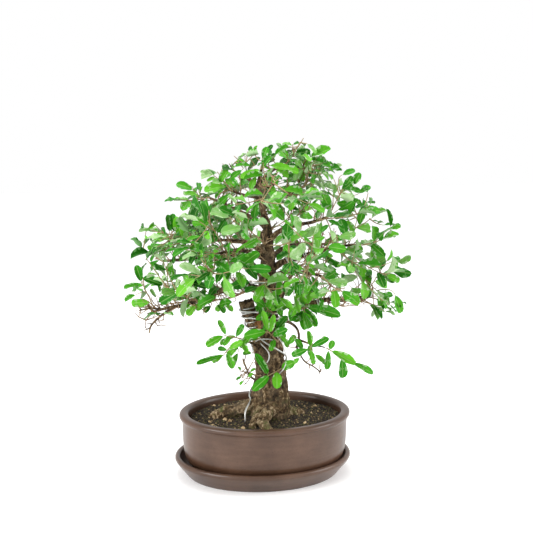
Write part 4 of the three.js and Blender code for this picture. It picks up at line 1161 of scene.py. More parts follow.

# %% [markdown]
# ## Bare twigs
# Between the leaves the crown is full of fine leafless twigs, pale brown and crooked, and the two
# lowest branches end in a net of them. Each is a path that takes short steps and changes its
# heading a little at every step; some carry a fork or a stiff thorn. Those that stand free of
# the leaves are drawn one by one, with forks by the same rule.

# %% Grow the bare twigs
BARE_SEED = 4700
BARE_STEP = 4.5
BARE_KINK = 0.38
BARE_SPACINGS = {"left_low": 2.8, "left_low_fork": 4, "left_low_tip": 4, "right_low": 2.6,
                 "left_main": 5, "right_main": 3.2, "low_right_bare": 14, "low_twig": 12}
BARE_SPACING = 6.5
BARE_TOP = 366
BARE_START = 0.24
TRUNK_BARE_START = 0.72
BARE_END = 0.98
SMOOTH_LIMBS = ("low_left", "low_right", "low_right_out")
BARE_RADII = dict(twig=1.05, fork=0.8, thorn=0.65, drawn=1.15, drawn_fork=0.7, branch=2.3)
LOWER_BRANCH = [(-20, -12, 189), (-30, -17, 186), (-47, -20, 179), (-66, -22, 176),
                (-86, -22, 170), (-105, -22, 162)]
DRAWN_TWIGS = [
    [(-55, -21, 177), (-61, -23, 165), (-72, -22, 159)], [(-80, -22, 172), (-75, -24, 165)],
    [(-36, -18, 184), (-48, -26, 186), (-60, -30, 184), (-74, -32, 186)],
    [(-66, -22, 176), (-80, -28, 178), (-94, -30, 176), (-108, -30, 178)],
    [(-97, -22, 178), (-119, -25, 173), (-141, -24, 170), (-162, -22, 167), (-178, -20, 165),
     (-186, -20, 169)],
    [(-141, -22, 164), (-158, -24, 158), (-168, -22, 147), (-169, -22, 138), (-170, -22, 133)],
    [(-119, -22, 169), (-134, -26, 160), (-148, -26, 152), (-159, -24, 149)],
    [(-158, -20, 160), (-164, -20, 163), (-175, -20, 156), (-185, -20, 163)],
    [(-168, -22, 147), (-178, -24, 152), (-184, -26, 160)],
    [(-168, -22, 147), (-158, -20, 150), (-148, -18, 154)],
    [(96, -14, 175), (113, -15, 177), (132, -14, 181), (151, -14, 189), (163, -14, 195)],
    [(113, -14, 177), (123, -16, 190), (137, -14, 197)],
    [(123, -14, 177), (137, -16, 174), (151, -14, 179), (168, -16, 182)],
    [(78, -14, 174), (84, -12, 190), (80, -10, 204), (86, -8, 216)],
    [(96, -14, 176), (92, -16, 192), (98, -14, 206)],
    [(60, -12, 168), (66, -14, 182), (76, -14, 196), (74, -12, 208)],
    [(88, -14, 172), (110, -18, 166), (126, -20, 168), (140, -20, 165)],
]


def bare_path(start, heading, length, draw):
    """A crooked path that rises a little"""
    path = [np.array(start, float)]
    for _ in range(max(3, round(length / BARE_STEP))):
        heading = unit(heading + (spread(draw) + 0.12 * UP) * BARE_KINK)
        path.append(path[-1] + heading * BARE_STEP * (0.7 + 0.6 * draw()))
    return np.array(path)


def forked_heading(path, k, rise, draw):
    """A heading that leaves the path to one side at its k-th step"""
    way = unit(path[k] - path[k - 1])
    return unit(way + square_to(np.array((draw() - 0.5, draw() - 0.5, rise)), way))


def thorn_path(root, along, draw):
    out = square_to(np.array((draw() - 0.5, draw() - 0.5, draw() - 0.4)), along)
    return np.array((root, root + unit(out + 0.4 * along) * (4 + 4 * draw())))


def bare_twigs_of(one, draw):
    """Twigs from one limb, some with a fork or a thorn: pairs of a path and its root's radius"""
    first = TRUNK_BARE_START if one is TRUNK else BARE_START
    spacing = BARE_SPACINGS.get(one.name, BARE_SPACING)
    count = int(path_length(one.points) * (1 - first) / spacing)
    found = []
    for k in range(count):
        t = first + (BARE_END - first) * (k + draw()) / count
        along = tangent(one.points, t)
        aside = square_to(np.array((draw() - 0.5, 1.2 * draw() - 0.6, draw() - 0.3)), along)
        heading = unit(along * (0.3 + 0.7 * draw()) + aside)
        twig = bare_path(spline(one.points, t), heading, 12 + 34 * draw() ** 1.5, draw)
        found.append((twig, BARE_RADII["twig"]))
        if draw() < 0.55:
            middle = len(twig) // 2
            heading = forked_heading(twig, middle, 0.4, draw)
            fork = bare_path(twig[middle], heading, 8 + 14 * draw(), draw)
            found.append((fork, BARE_RADII["fork"]))
        if draw() < 0.5:
            thorn = thorn_path(twig[-2], unit(twig[-1] - twig[-2]), draw)
            found.append((thorn, BARE_RADII["thorn"]))
    return found


def grow_bare_twigs():
    draw = seeded_draws(BARE_SEED)
    found = [pair for one in [TRUNK, *BRANCHES] if one.name not in SMOOTH_LIMBS
             for pair in bare_twigs_of(one, draw)]
    kept = [pair for pair in found
            if is_in_crown(pair[0][-1] * (1.04, 1, 1)) and pair[0][:, 2].max() < BARE_TOP]
    drawn = [(np.array(path, float), BARE_RADII["drawn"]) for path in DRAWN_TWIGS + TANGLE]
    branch = spline(np.array(LOWER_BRANCH, float), np.linspace(0, 1, 24))
    drawn.append((branch, BARE_RADII["branch"]))
    for path, _ in drawn:
        for k in range(1, len(path) - 1):
            if draw() < 0.7:
                heading = forked_heading(path, k + 1, 0.3, draw)
                fork = bare_path(path[k], heading, 5 + 9 * draw(), draw)
                kept.append((fork, BARE_RADII["drawn_fork"]))
    return kept + drawn


BARE_TWIGS = grow_bare_twigs()
print(len(BARE_TWIGS), "bare twigs and thorns")

# %% [markdown]
# ## Stoneware
# Pot and saucer are one brown clay, burnished and fired to a satin, with fine dark specks and
# faint rings from the wheel. The finish is a warm brown that drifts a little from place to
# place, darker in the specks, with a low bump for the grain.

# %% Stoneware finish


def stoneware_finish():
    finish, tree, shader, place = new_finish("satin brown stoneware", 0.4, 0.25)
    shader.inputs["Coat Weight"].default_value = 0.3
    shader.inputs["Coat Roughness"].default_value = 0.22
    drift = noise(tree, place, 14, 4)
    streaks = noise(tree, scaled(tree, place, (1, 1, 9)), 26, 3)
    drift = maths(tree, "MULTIPLY_ADD", streaks, 0.25, maths(tree, "MULTIPLY", drift, 0.75))
    colour = ramp(tree, drift, [(0.34, (0.046, 0.021, 0.011)), (0.5, (0.07, 0.035, 0.02)),
                                (0.66, (0.1, 0.053, 0.033))])
    specks = noise(tree, place, 900, 2, 0.7)
    speck = ramp(tree, specks, [(0.3, (0.45, 0.42, 0.4)), (0.42, 1), (0.66, 1),
                                (0.78, (1.25, 1.2, 1.15))])
    paint(tree, shader, mixed(tree, 1.0, colour, speck, "MULTIPLY"))
    bump(tree, shader, specks, 0.12, 0.0004)
    return finish


STONEWARE = stoneware_finish()

# %% [markdown]
# ## Pot and saucer
# An oval pot can't be turned on a lathe in one go, but it is still a profile carried round: each
# profile point gives an oval ring, set in from the outermost oval. The corners of the profile are
# cut twice, each time to a quarter of their sides, which rounds them as a sponge rounds wet clay.

# %% Ovals with a rounded profile
OVAL_SEGMENTS = 144
POT = SimpleNamespace(length=250, width=200, x=0.0, y=0.0, foot=6.3, underside=10.3, floor=16.3)
SAUCER = SimpleNamespace(length=258.4, width=208.4, x=-2.2, y=3.2, floor=6.0)
POT_PROFILE = [
    (35, POT.underside), (34, POT.foot), (28, POT.foot), (26.5, POT.underside), (16.5, 17),
    (8.6, 29), (5.2, 48), (4.6, 85.4), (1.2, 86.4), (0, 89.8), (1.5, 93.1), (5, 94.4),
    (11, 94.2), (14.6, 91.3), (17, 28), (30, POT.floor),
]
SAUCER_PROFILE = [
    (20, 0), (18.4, 1.2), (9.4, 12.6), (2.4, 21.4), (0, 25.4), (1.2, 29.2), (4, 30.3),
    (7, 29.5), (8.2, 27), (12, 14), (22, SAUCER.floor),
]


def rounded(profile, times=2):
    """Cuts the corners between the two ends, which stay"""
    profile = np.array(profile, float)
    for _ in range(times):
        start, end = profile[:-1], profile[1:]
        cut = np.stack((0.75 * start + 0.25 * end, 0.25 * start + 0.75 * end), 1)
        profile = np.vstack((profile[:1], cut.reshape(-1, 2), profile[-1:]))
    return profile


def oval(vessel, inset, z, segments=OVAL_SEGMENTS):
    angles = np.arange(segments) / segments * TURN
    x = vessel.x + (vessel.length / 2 - inset) * np.cos(angles)
    y = vessel.y + (vessel.width / 2 - inset) * np.sin(angles)
    return np.stack((x, y, np.broadcast_to(z, segments)), 1)


def vessel_mesh(name, vessel, profile):
    rings = [oval(vessel, inset, z) for inset, z in rounded(profile)]
    return new_mesh(name, np.vstack(rings) * MM, ring_faces(len(rings), OVAL_SEGMENTS))


saucer = new_piece("saucer_fired", vessel_mesh("saucer", SAUCER, SAUCER_PROFILE), STONEWARE,
                   "stoneware", "saucer")

# %% [markdown]
# Water drips through two round holes in the floor and runs out by a notch at each end of the foot
# ring. Holes are simplest to make by taking a solid tool away from the pot with a Boolean.

# %% Drain holes and foot notches
DRAIN_RADIUS = 7
DRAIN_SIDES = 32
DRAIN_PLACES = (-45, 45)
NOTCH_HALF = (12, 8, 3)
NOTCH_PLACES = (-94.5, 94.5)


def prism(x, outline, low, high):
    """A closed prism over an outline round x, as points and faces"""
    points = [(x + px, py, z) for z in (low, high) for px, py in outline]
    return points, ring_faces(2, len(outline))


def pot_cutters():
    angles = [k / DRAIN_SIDES * TURN for k in range(DRAIN_SIDES)]
    round_hole = [(DRAIN_RADIUS * math.cos(a), DRAIN_RADIUS * math.sin(a)) for a in angles]
    length, width, height = NOTCH_HALF
    slot = [(x * length, y * width) for x, y in SQUARE]
    holes = [prism(x, round_hole, POT.underside - 4, POT.floor + 4) for x in DRAIN_PLACES]
    return holes + [prism(x, slot, POT.foot - height, POT.foot + height) for x in NOTCH_PLACES]


def joined_mesh(name, parts, smooth=True):
    points, faces, count = [], [], 0
    for some_points, some_faces in parts:
        points.extend(some_points)
        faces.extend(tuple(i + count for i in face) for face in some_faces)
        count += len(some_points)
    return new_mesh(name, np.array(points) * MM, faces, smooth)


def cut_away(mesh, cutters):
    """The mesh less the cutters, by a Boolean that is applied"""
    body = bpy.data.objects.new("body", mesh)
    tool = bpy.data.objects.new("tool", joined_mesh("tool", cutters, smooth=False))
    for one in (body, tool):
        bpy.context.scene.collection.objects.link(one)
    boolean = body.modifiers.new("cut", "BOOLEAN")
    boolean.object = tool
    boolean.solver = "EXACT"
    depsgraph = bpy.context.evaluated_depsgraph_get()
    result = bpy.data.meshes.new_from_object(body.evaluated_get(depsgraph))
    for one in (body, tool):
        bpy.data.objects.remove(one)
    return result


pot_mesh = cut_away(vessel_mesh("pot", POT, POT_PROFILE), pot_cutters())
new_piece("pot_fired", pot_mesh, STONEWARE, "stoneware", "pot")
print("pot:", len(pot_mesh.polygons), "faces, saucer:", len(saucer.data.polygons))

# %% [markdown]
# ## Bark
# An old thorny olive has rough grey-brown bark, cracked into small upright plates, and the young
# wood is smoother and greyer. Each limb is a skin of rings round its curve. Noise that is
# stretched along the trunk moves the points in and out, and the same heights are kept as an
# attribute, so that the finish can paint shade into the cracks and pale the ridges.

# %% Wood skins
BARK_STEP = 1.37
BARK_SIDE = 1.1
MOST_BARK_SIDES = 120
BARK_DEPTH = 2.0
FULL_DEPTH_RADIUS = 14
COLLAR_SHARE = 0.22
COLLAR_LENGTH = 5
CRACK_STRETCH = np.array((1, 1, 0.42))
ROOT_RELIEF = 0.5
# A low relief in the stub's hollow, so that the finish paints shade in it
HOLLOW_SHADE_RELIEF = -0.7
# The hollow in the stub's broken end: each ring's share of the rim, and its depth
HOLLOW_RINGS = ((0.78, 1.0), (0.55, 4.0), (0.25, 5.5))
BARED_MIDDLE = (-10, -13, 142)
BARED_REACH = np.array((4.5, 9, 24))


def relief_at(points):
    """Height of the bark, about -1 in cracks to 1 on ridges"""
    stretched = points * CRACK_STRETCH
    plates = 1 - 2.6 * np.abs(lattice_noise(stretched, 5.2, 3))
    small = lattice_noise(points, 2.3, 5)
    lumps = lattice_noise(points, 14, 8)
    return 0.5 * plates + 0.5 * small + 0.45 * lumps


def torn_top(one, points, sides):
    """The stub's broken end: a ragged edge round a hollow"""
    axis = unit(one.points[-1] - one.points[-2])
    points = points.copy()
    rim = points[-sides:]
    middle = rim.mean(0)
    rim += axis * (2.6 * lattice_noise(rim, 3.2, 21) + 1.6 * lattice_noise(rim, 8, 22))[:, None]
    inner = [middle + (rim - middle) * share - axis * deep + axis * (
        1.2 * lattice_noise(rim * share, 2.4, 23))[:, None]
        for share, deep in HOLLOW_RINGS]
    return np.vstack((points, *inner))


def wood_skin(one):
    """A limb as a fine skin: points in the plan's millimetres, faces, and relief"""
    length = path_length(one.points)
    rings = max(8, int(length / BARK_STEP))
    sides = int(min(max(10, TURN * one.radii.max() / BARK_SIDE), MOST_BARK_SIDES))
    t = np.repeat(np.arange(rings + 1) / rings, sides)
    angle = np.tile(np.arange(sides) / sides * TURN, rings + 1)
    core = spline(one.points, t)
    radius = thickness(one, t)
    collar = 0
    if one in BRANCHES:
        collar = COLLAR_SHARE * radius * np.exp(-t * length / COLLAR_LENGTH)
    points = bark_point(one, t, angle, collar)
    relief = relief_at(points)
    depth = BARK_DEPTH * np.clip(radius / FULL_DEPTH_RADIUS, 0.12, 1)
    points = points + unit(points - core) * (relief * depth)[:, None]
    if one in ROOTS:
        relief = relief + ROOT_RELIEF
    if one is STUB:
        points = torn_top(one, points, sides)
        relief = np.append(relief, np.full(len(HOLLOW_RINGS) * sides, HOLLOW_SHADE_RELIEF))
        rings += len(HOLLOW_RINGS)
    return points, ring_faces(rings + 1, sides), relief


# %% Bark finish: painted shade in the cracks, a fine grain, grey patches, moss at the foot
MOSS_TOP = 0.125
MOSS_THICK = 0.096
MOSS_SHARE = 0.7


def bark_finish():
    finish, tree, shader, place = new_finish("rough brown bark", 0.88, 0.2)
    relief = attribute(tree, "relief")
    grain = noise(tree, scaled(tree, place, (1, 1, 0.7)), 520, 5, 0.85)
    flakes = noise(tree, scaled(tree, place, (1, 1, 0.8)), 230, 2, 0.5)
    uneven = maths(tree, "ADD", maths(tree, "MULTIPLY_ADD", grain, 3.4, -1.7),
                   maths(tree, "MULTIPLY_ADD", flakes, 3.0, -1.5))
    height = maths(tree, "MULTIPLY_ADD", relief, 0.75, uneven)
    # The colour follows the grain noise and the relief: low relief in the cracks is painted dark
    # as shade, high relief on the ridges paler
    colour = ramp(tree, maths(tree, "MULTIPLY_ADD", height, 0.36, 0.5), [
        (0.14, (0.006, 0.004, 0.002)), (0.38, (0.034, 0.02, 0.009)), (0.56, (0.09, 0.056, 0.026)),
        (0.72, (0.18, 0.12, 0.06)), (0.92, (0.45, 0.34, 0.21))])
    patches = ramp(tree, noise(tree, place, 38, 3), [(0.46, 0), (0.64, 1)])
    grey = mixed(tree, maths(tree, "MULTIPLY", patches, 0.35), colour, (0.2, 0.15, 0.1, 1))
    level = add(tree, "ShaderNodeSeparateXYZ", {0: place}).outputs[2]
    foot = add(tree, "ShaderNodeMapRange", {0: level, 1: MOSS_TOP, 2: MOSS_THICK}).outputs[0]
    damp = ramp(tree, noise(tree, place, 75, 4, 0.7), [(0.51, 0), (0.62, 1)])
    mossy = maths(tree, "MULTIPLY", maths(tree, "MULTIPLY", foot, damp), MOSS_SHARE)
    green = mixed(tree, mossy, grey, (0.07, 0.095, 0.02, 1))
    bared = attribute(tree, "bared")
    fibres = ramp(tree, noise(tree, scaled(tree, place, (1, 1, 0.12)), 420, 3), [
        (0.35, (0.16, 0.065, 0.02)), (0.65, (0.42, 0.2, 0.07))])
    paint(tree, shader, mixed(tree, bared, green, fibres))
    bump(tree, shader, uneven, 0.7, 0.0012)
    return finish


BARK = bark_finish()

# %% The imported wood's thorns, and the whole wood
THORN_SEED = 900
THORN_LENGTH = 10
THORN_SIDES = 6
THORN_TAPER = ((0, 0.95), (0.5, 0.75), (1, 0.12))
THORN_RELIEF = 0.3


def thorn_skins(one):
    """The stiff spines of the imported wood, as slim six-sided cones"""
    draw = seeded_draws(THORN_SEED + LIMBS.index(one))
    for k in range(one.thorns):
        t = 0.45 + 0.5 * (k + draw()) / one.thorns
        angle = draw() * TURN
        along = tangent(one.points, t)
        across = square_to(one.reference, along)
        out = across * math.cos(angle) + np.cross(along, across) * math.sin(angle)
        heading = unit(out + 0.5 * along)
        root = spline(one.points, t)
        side = square_to(along, heading)
        third = np.cross(heading, side)
        reach = float(thickness(one, t)) + THORN_LENGTH
        rings = [root + heading * reach * share + radius * (
            side * math.cos(j / THORN_SIDES * TURN) + third * math.sin(j / THORN_SIDES * TURN))
            for share, radius in THORN_TAPER for j in range(THORN_SIDES)]
        faces = ring_faces(len(THORN_TAPER), THORN_SIDES)
        yield np.array(rings), faces, np.full(len(rings), THORN_RELIEF)


def wood_mesh():
    parts, reliefs = [], []
    for one in LIMBS:
        for points, faces, relief in (wood_skin(one), *thorn_skins(one)):
            parts.append((placed(points) / MM, faces))
            reliefs.append(relief)
    mesh = joined_mesh("wood", parts)
    set_attribute(mesh, "relief", "FLOAT", np.concatenate(reliefs))
    ways = (np.vstack([points for points, _ in parts]) - placed(BARED_MIDDLE) / MM) / BARED_REACH
    set_attribute(mesh, "bared", "FLOAT", np.clip(2.2 - 2 * (ways ** 2).sum(1), 0, 0.85))
    return mesh


wood = new_piece("trunk_and_branches", wood_mesh(), BARK, "bark", "tree_wood")
print("wood:", len(wood.data.polygons), "faces")

# %% [markdown]
# ## Tubes that follow a path
# Wires and bare twigs are thin round tubes. One Geometry Nodes tree makes them: the path is a
# mesh of edges, each point has its own radius, and Curve to Mesh carries a circle along it.

# %% Geometry Nodes helpers


def new_tree(name, **sockets):
    """An empty tree with the geometry in and out, and named inputs"""
    tree = bpy.data.node_groups.new(name, "GeometryNodeTree")
    for label, kind in {"Geometry": "Geometry", **sockets}.items():
        tree.interface.new_socket(label, in_out="INPUT", socket_type=f"NodeSocket{kind}")
    tree.interface.new_socket("Geometry", in_out="OUTPUT", socket_type="NodeSocketGeometry")
    return tree, add(tree, "NodeGroupInput").outputs


def named(tree, name, kind="FLOAT"):
    return add(tree, "GeometryNodeInputNamedAttribute", {"Name": name}, data_type=kind).outputs[0]


def each_shape(tree, shapes):
    """The shapes of a collection, to pick from by number"""
    return add(tree, "GeometryNodeCollectionInfo", {
        "Collection": shapes, "Separate Children": True, "Reset Children": True}).outputs[0]


def boxed(name, shapes):
    """The shapes as a collection"""
    box = bpy.data.collections.new(name)
    for shape in shapes:
        box.objects.link(bpy.data.objects.new(shape.name, shape))
    return box


def finished(tree, geometry, finish):
    """Realize Instances, then Set Material"""
    real = add(tree, "GeometryNodeRealizeInstances", {"Geometry": geometry}).outputs[0]
    return add(tree, "GeometryNodeSetMaterial", {"Geometry": real, "Material": finish}).outputs[0]


def run_tree(tree, name, carrier_mesh, **inputs):
    """What the tree makes of the carrier, as a plain mesh"""
    carrier = bpy.data.objects.new("carrier", carrier_mesh)
    bpy.context.scene.collection.objects.link(carrier)
    modifier = carrier.modifiers.new("grow", "NODES")
    modifier.node_group = tree
    for entry in tree.interface.items_tree:
        if entry.in_out == "INPUT" and entry.name in inputs:
            modifier[entry.identifier] = inputs[entry.name]
    depsgraph = bpy.context.evaluated_depsgraph_get()
    mesh = bpy.data.meshes.new_from_object(carrier.evaluated_get(depsgraph))
    mesh.name = name
    bpy.data.objects.remove(carrier)
    return mesh


def path_tubes(tree, geometry, sides):
    """The nodes that carry a circle along the edges, with each point's own radius"""
    curve = add(tree, "GeometryNodeMeshToCurve", {"Mesh": geometry}).outputs[0]
    circle = add(tree, "GeometryNodeCurvePrimitiveCircle",
                 {"Resolution": sides, "Radius": 1.0}).outputs[0]
    return add(tree, "GeometryNodeCurveToMesh", {
        "Curve": curve, "Profile Curve": circle, "Scale": named(tree, "thick"),
        "Fill Caps": True}).outputs[0]


def tube_tree():
    tree, given = new_tree("wire along a path", Sides="Int", Finish="Material")
    tube = path_tubes(tree, given["Geometry"], given["Sides"])
    add(tree, "NodeGroupOutput", {0: finished(tree, tube, given["Finish"])})
    return tree


def path_mesh(paths, radii, extra=()):
    """Open paths as a mesh of edges; extra points follow without edges"""
    points, edges, thick = [], [], []
    for path, radius in zip(paths, radii):
        first = len(points)
        points.extend(path)
        thick.extend(np.broadcast_to(radius, len(path)))
        edges.extend((first + k, first + k + 1) for k in range(len(path) - 1))
    points.extend(extra)
    thick.extend([0.0] * len(extra))
    mesh = bpy.data.meshes.new("paths")
    mesh.from_pydata([tuple(point) for point in points], edges, [])
    set_attribute(mesh, "thick", "FLOAT", thick)
    return mesh


# %% [markdown]
# Aluminium training wire is soft, dull and silvery, and a little patchy from its time outdoors:
# plain metal with a noise in its colour and a very low bump.

# %% Wires
WIRE_SIDES = 12
ALUMINIUM = noisy_finish("soft aluminium wire", 0.34, (260, 3), [
    (0.3, (0.42, 0.42, 0.4)), (0.7, (0.66, 0.66, 0.64))], grain=(0.15, 0.0004), metallic=1.0)
TUBES = tube_tree()


def smooth_path(points, step):
    points = np.asarray(points, float)
    return spline(points, np.linspace(0, 1, max(4, int(path_length(points) / step))))


FINE_WIRES = dict(step=15, stub_step=6, steps_per_turn=12, play=0.2)
STUB_COIL = dict(one=STUB, from_t=0.84, to_t=0.34, turns=4.4, start_angle=2.6,
                 radius=WIRE_RADIUS - 0.6, steps_per_turn=18)
LOOSE_WIRE_SHARE = 0.72
# The ends of thinner wire that hang in front of the trunk
LOOSE_WIRES = [
    [(-13, -22, 116), (-8.3, -25, 119.6), (-1.2, -26, 120.6), (7.2, -25, 120), (13, -23, 118)],
    [(-6, -23, 114), (-4.1, -25, 111.9), (1.6, -26, 106.1), (5.8, -26, 98.8), (5.6, -26, 91.5),
     (3, -25, 85.6)],
    [(18, -22, 122), (21.4, -25, 119.4), (25.6, -26, 112.1), (28.5, -26, 101.9),
     (31.3, -26, 93.2), (29.9, -26, 84.4), (25.7, -26, 75.6), (20.1, -24, 68.3)],
    [(-21, -12, 113), (-19.7, -17, 110.4), (-17.5, -20, 104.5), (-16.8, -20, 95.7)],
]


# The trunk's wire also has tight turns round the stub, and loose ends
MORE_STRANDS = {"training_wire_trunk": [coil_path(**STUB_COIL), *LOOSE_WIRES]}
for name, (path, radius) in wire_paths(**FINE_WIRES).items():
    strands = [placed(smooth_path(strand, 1.5)) for strand in (path, *MORE_STRANDS.get(name, ()))]
    thinner = [LOOSE_WIRE_SHARE * radius * MM] * (len(strands) - 1)
    carrier = path_mesh(strands, [radius * MM] + thinner)
    wire_mesh = run_tree(TUBES, name, carrier, Sides=WIRE_SIDES, Finish=ALUMINIUM)
    new_piece(name + "_bent", wire_mesh, ALUMINIUM, "wire", name)
    print(name, len(wire_mesh.polygons), "faces")

# %% [markdown]
# ## Leaves
# Thorny olive leaves are leathery ovals on short stalks, 25 to 40 mm long, with a blunt tip and a
# gently waved margin. The top is bright green and glossy with a pale midrib, and the underside is
# silvery. A few shapes are enough if each is turned, sized and tinted in its own way. Each shape
# is a closed blade of a few dozen faces, 0.3 mm thick, whose UV map holds top and underside side
# by side.

# %% Leaf shapes
LEAF_SPANS = 7
LEAF_SIDES = np.array((-1, -0.5, 0, 0.5, 1))
LEAF_THICKNESS = 0.010
STALK_SHARE = 0.08
TIP_BLUNTNESS = 0.42


def leaf_shape(name, fold, wave, curl, base, phase):
    """A leaf of unit length and width: along +Y, its face to +Z"""
    shares = (1 - np.cos(math.pi * np.arange(LEAF_SPANS + 1) / LEAF_SPANS)) / 2
    outline = shares ** base * (1 - shares) ** TIP_BLUNTNESS
    widest = base / (base + TIP_BLUNTNESS)
    half = 0.5 * outline / (widest ** base * (1 - widest) ** TIP_BLUNTNESS) + 0.004
    columns = len(LEAF_SIDES)
    s, side = (grid.ravel() for grid in np.meshgrid(shares, LEAF_SIDES, indexing="ij"))
    x = side * np.repeat(half, columns)
    y = STALK_SHARE + (1 - STALK_SHARE) * s
    ripple = wave * np.sin(phase + 9 * s + 1.4 * np.sign(side)) * side ** 2 * np.sin(math.pi * s)
    z = (0.17 * s * (1 - s) - curl * s ** 2.5 + fold * np.abs(side) * np.repeat(half, columns)
         + ripple - 0.012 * (side == 0) * np.sin(math.pi * s))
    top = np.stack((x, y, z), 1)
    inner = np.flatnonzero(np.abs(side) < 1)
    under = top[inner] - (0, 0, LEAF_THICKNESS)
    below = np.arange(len(top))
    below[inner] = len(top) + np.arange(len(inner))
    faces, places = [], []

    def face(corners, lower):
        picked = [below[c] if lower else c for c in corners]
        if len(set(picked)) >= 3:
            faces.append(picked[::-1] if lower else picked)
            spots = [(0.25 + 0.5 * lower + 0.22 * side[c], s[c]) for c in corners]
            places.extend(spots[::-1] if lower else spots)

    for k in range(LEAF_SPANS):
        for j in range(columns - 1):
            a, b = columns * k + j, columns * (k + 1) + j
            face((a, a + 1, b + 1, b), False)
            face((a, a + 1, b + 1, b), True)
    for row, forward in ((0, True), (columns * LEAF_SPANS, False)):
        for j in range(columns - 1):
            a, b = row + j, row + j + 1
            edge = [a, below[a], below[b], b] if forward else [b, below[b], below[a], a]
            edge = list(dict.fromkeys(edge))
            faces.append(edge)
            places.extend([(0.25, s[a])] * len(edge))
    points = np.vstack((top, under))
    stalk = [(0.035 * math.cos(a), y, 0.02 * math.sin(a)) for y in (-0.02, STALK_SHARE + 0.03)
             for a in (0, TURN / 3, 2 * TURN / 3)]
    first = len(points)
    for side_face in ring_faces(2, 3):
        faces.append([first + i for i in side_face[::-1]])
        places.extend([(0.25, 0.0)] * len(side_face))
    mesh = new_mesh(name, np.vstack((points, stalk)), faces)
    uv = mesh.uv_layers.new(name="UVMap")
    uv.data.foreach_set("uv", np.array(places, np.float32).ravel())
    on_margin = np.append(np.abs(side) == 1, np.zeros(len(points) - len(top) + len(stalk), bool))
    sharp = [bool(on_margin[list(edge.vertices)].all()) for edge in mesh.edges]
    set_attribute(mesh, "sharp_edge", "BOOLEAN", sharp, "EDGE")
    return mesh


LEAF_SHAPES = [
    leaf_shape("leaf_a_flat", fold=0.12, wave=0.03, curl=0.05, base=0.62, phase=0.0),
    leaf_shape("leaf_b_waved", fold=0.16, wave=0.09, curl=0.02, base=0.7, phase=1.1),
    leaf_shape("leaf_c_folded", fold=0.5, wave=0.05, curl=0.08, base=0.6, phase=2.3),
    leaf_shape("leaf_d_curled", fold=0.2, wave=0.07, curl=0.22, base=0.66, phase=3.2),
    leaf_shape("leaf_e_cupped", fold=0.34, wave=0.08, curl=-0.07, base=0.58, phase=4.4),
]
leaf_box = boxed("leaf shapes", LEAF_SHAPES)
print("leaf shapes:", [len(shape.polygons) for shape in LEAF_SHAPES], "faces")

# %% [markdown]
# A leaf's UV map runs across and along it, so the finish can draw the pale midrib and the fine
# side veins, which slant forwards. Each leaf carries a tone from 0 to 1, which picks its green
# from a ramp, from old and dark to fresh and pale.

# %% Leaf and stem finishes
LEAF_UV_WIDTH = 0.44
VEIN_SLANT = -0.28
VEIN_TURNS = 44


def leaf_finish():
    finish, tree, shader, place = new_finish("leathery leaf", 0.42, 0.12)
    uv = add(tree, "ShaderNodeUVMap", uv_map="UVMap").outputs[0]
    parts = add(tree, "ShaderNodeSeparateXYZ", {0: uv}).outputs
    lower = maths(tree, "GREATER_THAN", parts[0], 0.5)
    centred = maths(tree, "SUBTRACT", maths(tree, "FRACT", maths(tree, "MULTIPLY", parts[0], 2)),
                    0.5)
    across = maths(tree, "ABSOLUTE", maths(tree, "MULTIPLY", centred, 1 / LEAF_UV_WIDTH))
    tone = attribute(tree, "tone")
    cloud = noise(tree, place, 160, 3)
    shade = maths(tree, "MULTIPLY_ADD", maths(tree, "SUBTRACT", cloud, 0.5), 0.35, tone)
    top = ramp(tree, shade, [
        (0.0, (0.008, 0.1, 0.002)), (0.3, (0.017, 0.17, 0.003)), (0.52, (0.045, 0.25, 0.006)),
        (0.72, (0.1, 0.36, 0.014)), (0.87, (0.13, 0.3, 0.07)), (1.0, (0.3, 0.44, 0.22))])
    midrib = ramp(tree, across, [(0.04, 1), (0.1, 0)])
    herring = maths(tree, "SINE", maths(tree, "MULTIPLY", maths(
        tree, "MULTIPLY_ADD", across, VEIN_SLANT, parts[1]), VEIN_TURNS))
    veins = ramp(tree, herring, [(0.86, 0), (1.0, 0.16)])
    pale = maths(tree, "MULTIPLY", maths(tree, "MAXIMUM", midrib, veins), 0.5)
    top = mixed(tree, pale, top, (0.28, 0.48, 0.13, 1))
    under = ramp(tree, shade, [(0.1, (0.1, 0.25, 0.07)), (0.9, (0.36, 0.5, 0.27))])
    colour = mixed(tree, lower, top, under)
    paint(tree, shader, colour)
    relief = maths(tree, "SUBTRACT", maths(tree, "MULTIPLY", cloud, 0.2), pale)
    bump(tree, shader, relief, 0.35, 0.0006)
    return finish


LEAF = leaf_finish()
STEM = noisy_finish("young stem", 0.6, (90, 3), [
    (0.3, (0.13, 0.075, 0.035)), (0.5, (0.3, 0.2, 0.1)), (0.7, (0.3, 0.3, 0.14))],
    grain=(700, 2, 0.3, 0.0004), specular=0.25)

# %% [markdown]
# ## Leafy sprays
# Each packed spray is replaced by stems and leaves in the same places. One Geometry Nodes tree
# makes both: it carries a circle along the edges of a carrier mesh, and sets a leaf shape on
# each of its loose points.

# %% Sprays: stems along their paths, a leaf shape on each leaf point
STEM_SIDES = 6
STEM_RADII = (0.95, 0.5)
STALK_RADII = (0.7, 0.45)
TONE_RANGES = dict(shoot=(0.3, 0.74), crown=(0.0, 1.0))


